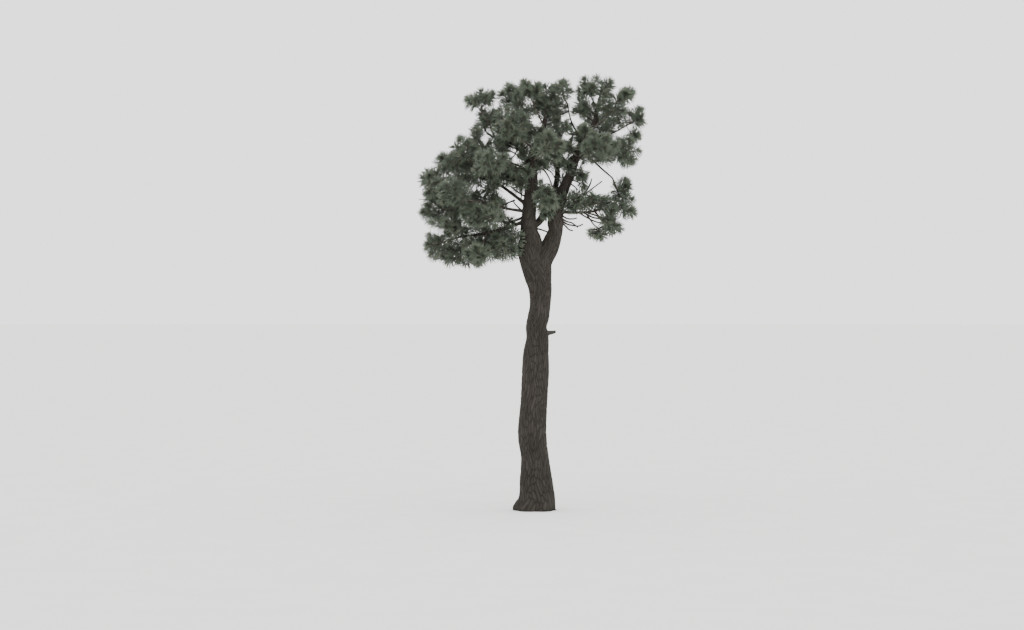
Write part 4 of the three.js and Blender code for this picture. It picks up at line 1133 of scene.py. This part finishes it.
def dress_dead_wood(limbs, wood):
    """The dead stub and the dead snag, and the bare twigs in one piece."""
    bark_skin("dead_stub_wood", limbs["dead_stub"], wood, ["dead_stub"], around=30, rows=60, depth=4 * MM,
              seed=40, meets=[(limbs["trunk"], STUB_JOIN)], slot="dead_wood")
    bark_skin("dead_snag_wood", limbs["dead_snag"], wood, ["dead_snag"], around=16, rows=90, depth=1.5 * MM,
              seed=41, slot="dead_wood")
    stations, sides = BARE_TWIG_SHAPE
    twigs = []
    for (base, tip), path in BARE_TWIGS:
        line = spline(seen(path), np.linspace(0, 1, stations))
        twigs.append(rods(line[None], np.linspace(base, tip, stations)[None] * MM, sides))
    piece("bare_twigs", *joined(twigs), [wood], slot="dead_wood")


# Stage
def add_camera():
    """A level camera at the eye, whose lens makes a pixel span PIXEL on the plane of the trunk."""
    data = bpy.data.cameras.new("camera")
    data.sensor_width = SENSOR
    data.lens = SENSOR * -EYE[1] / (PIXEL * PICTURE_WIDTH)
    data.clip_end = 1000
    camera = put_in_scene("camera", data)
    camera.location = EYE
    camera.rotation_euler = (math.radians(90), 0, 0)
    bpy.context.scene.camera = camera


def add_floor():
    """A round level floor just below the foot: a polar grid with one vertex in the middle, its edge far
    enough off to meet the sky."""
    sides = 96
    rings_at = np.array([0.5, 2, 6, 20, 60, 200, 600])
    angle = 2 * np.pi * np.arange(sides) / sides
    rim = np.stack([np.cos(angle), np.sin(angle), 0 * angle], -1)
    points = np.concatenate([np.zeros((1, 3)), (rings_at[:, None, None] * rim).reshape(-1, 3)])
    points[:, 2] = -2 * MM
    j = np.arange(sides)
    k = (j + 1) % sides
    bands = [np.stack([0 * j, 1 + j, 1 + k], -1)]
    for i in range(len(rings_at) - 1):
        a, b = 1 + sides * i, 1 + sides * (i + 1)
        bands += [np.stack([a + j, b + j, b + k], -1), np.stack([a + j, b + k, a + k], -1)]
    mesh = bpy.data.meshes.new("floor")
    mesh.from_pydata(points.tolist(), [], np.concatenate(bands).tolist())
    mesh.materials.append(pale_matt_floor())
    put_in_scene("floor", mesh)


def add_light():
    """A pale even sky, and a weak wide light from high on the left that gives the crown a brighter side."""
    world = bpy.data.worlds.new("pale_sky")
    world.use_nodes = True
    background = world.node_tree.nodes["Background"]
    background.inputs["Color"].default_value = linear("#DCDCDC")
    background.inputs["Strength"].default_value = 3.0
    bpy.context.scene.world = world
    data = bpy.data.lights.new("soft_light", "SUN")
    data.energy = 0.25
    data.angle = math.radians(70)
    lamp = put_in_scene("soft_light", data)
    lamp.rotation_euler = (math.radians(38), 0, math.radians(-35))


# The build
# Bark colours: the bark up in the crown and on the boughs is paler, partly as younger bark and partly as
# painted light against the crown's shade
OLD_BARK = ("#423D38", "#524D47", "#5D5851")
PALE_BARK = ("#4B4640", "#5C5750", "#69635C")
BOUGH_BARK_YOUNG_AND_PAINTED_LIGHT = ("#4D4842", "#5E5851", "#6A645D")

add_camera()
stem_bark = old_pine_bark("old_pine_bark", 8 * MM, OLD_BARK, PALE_BARK)
bough_bark = old_pine_bark("pine_bough_bark", 5 * MM, PALE_BARK, BOUGH_BARK_YOUNG_AND_PAINTED_LIGHT)
shoot_bark = twig_bark("pine_shoot_bark", "#4B4640", "#625B54")
dead_wood = bare_dead_wood("bare_dead_pine_wood", "#2C2A27", "#403D39")
needle_materials = [
    pine_needle("pine_needle_deep", "#5B6656"),
    pine_needle("pine_needle_grey_green", "#667161"),
    pine_needle("pine_needle_light", "#737E6C"),
    pine_needle("pine_needle_yellowing", "#7A7762", 0.6),
]

limbs = make_limbs()
dress_trunk_and_leaders(limbs, stem_bark)
dress_boughs(limbs, bough_bark)
dress_dead_wood(limbs, dead_wood)

crown = Crown(limbs)
crown.grow_main()
crown.grow_finer()
crown.share_out_needles()
for number, (region, members) in enumerate(REGIONS.items()):
    region_pieces(crown, number, region, members, shoot_bark, needle_materials)

add_floor()
add_light()
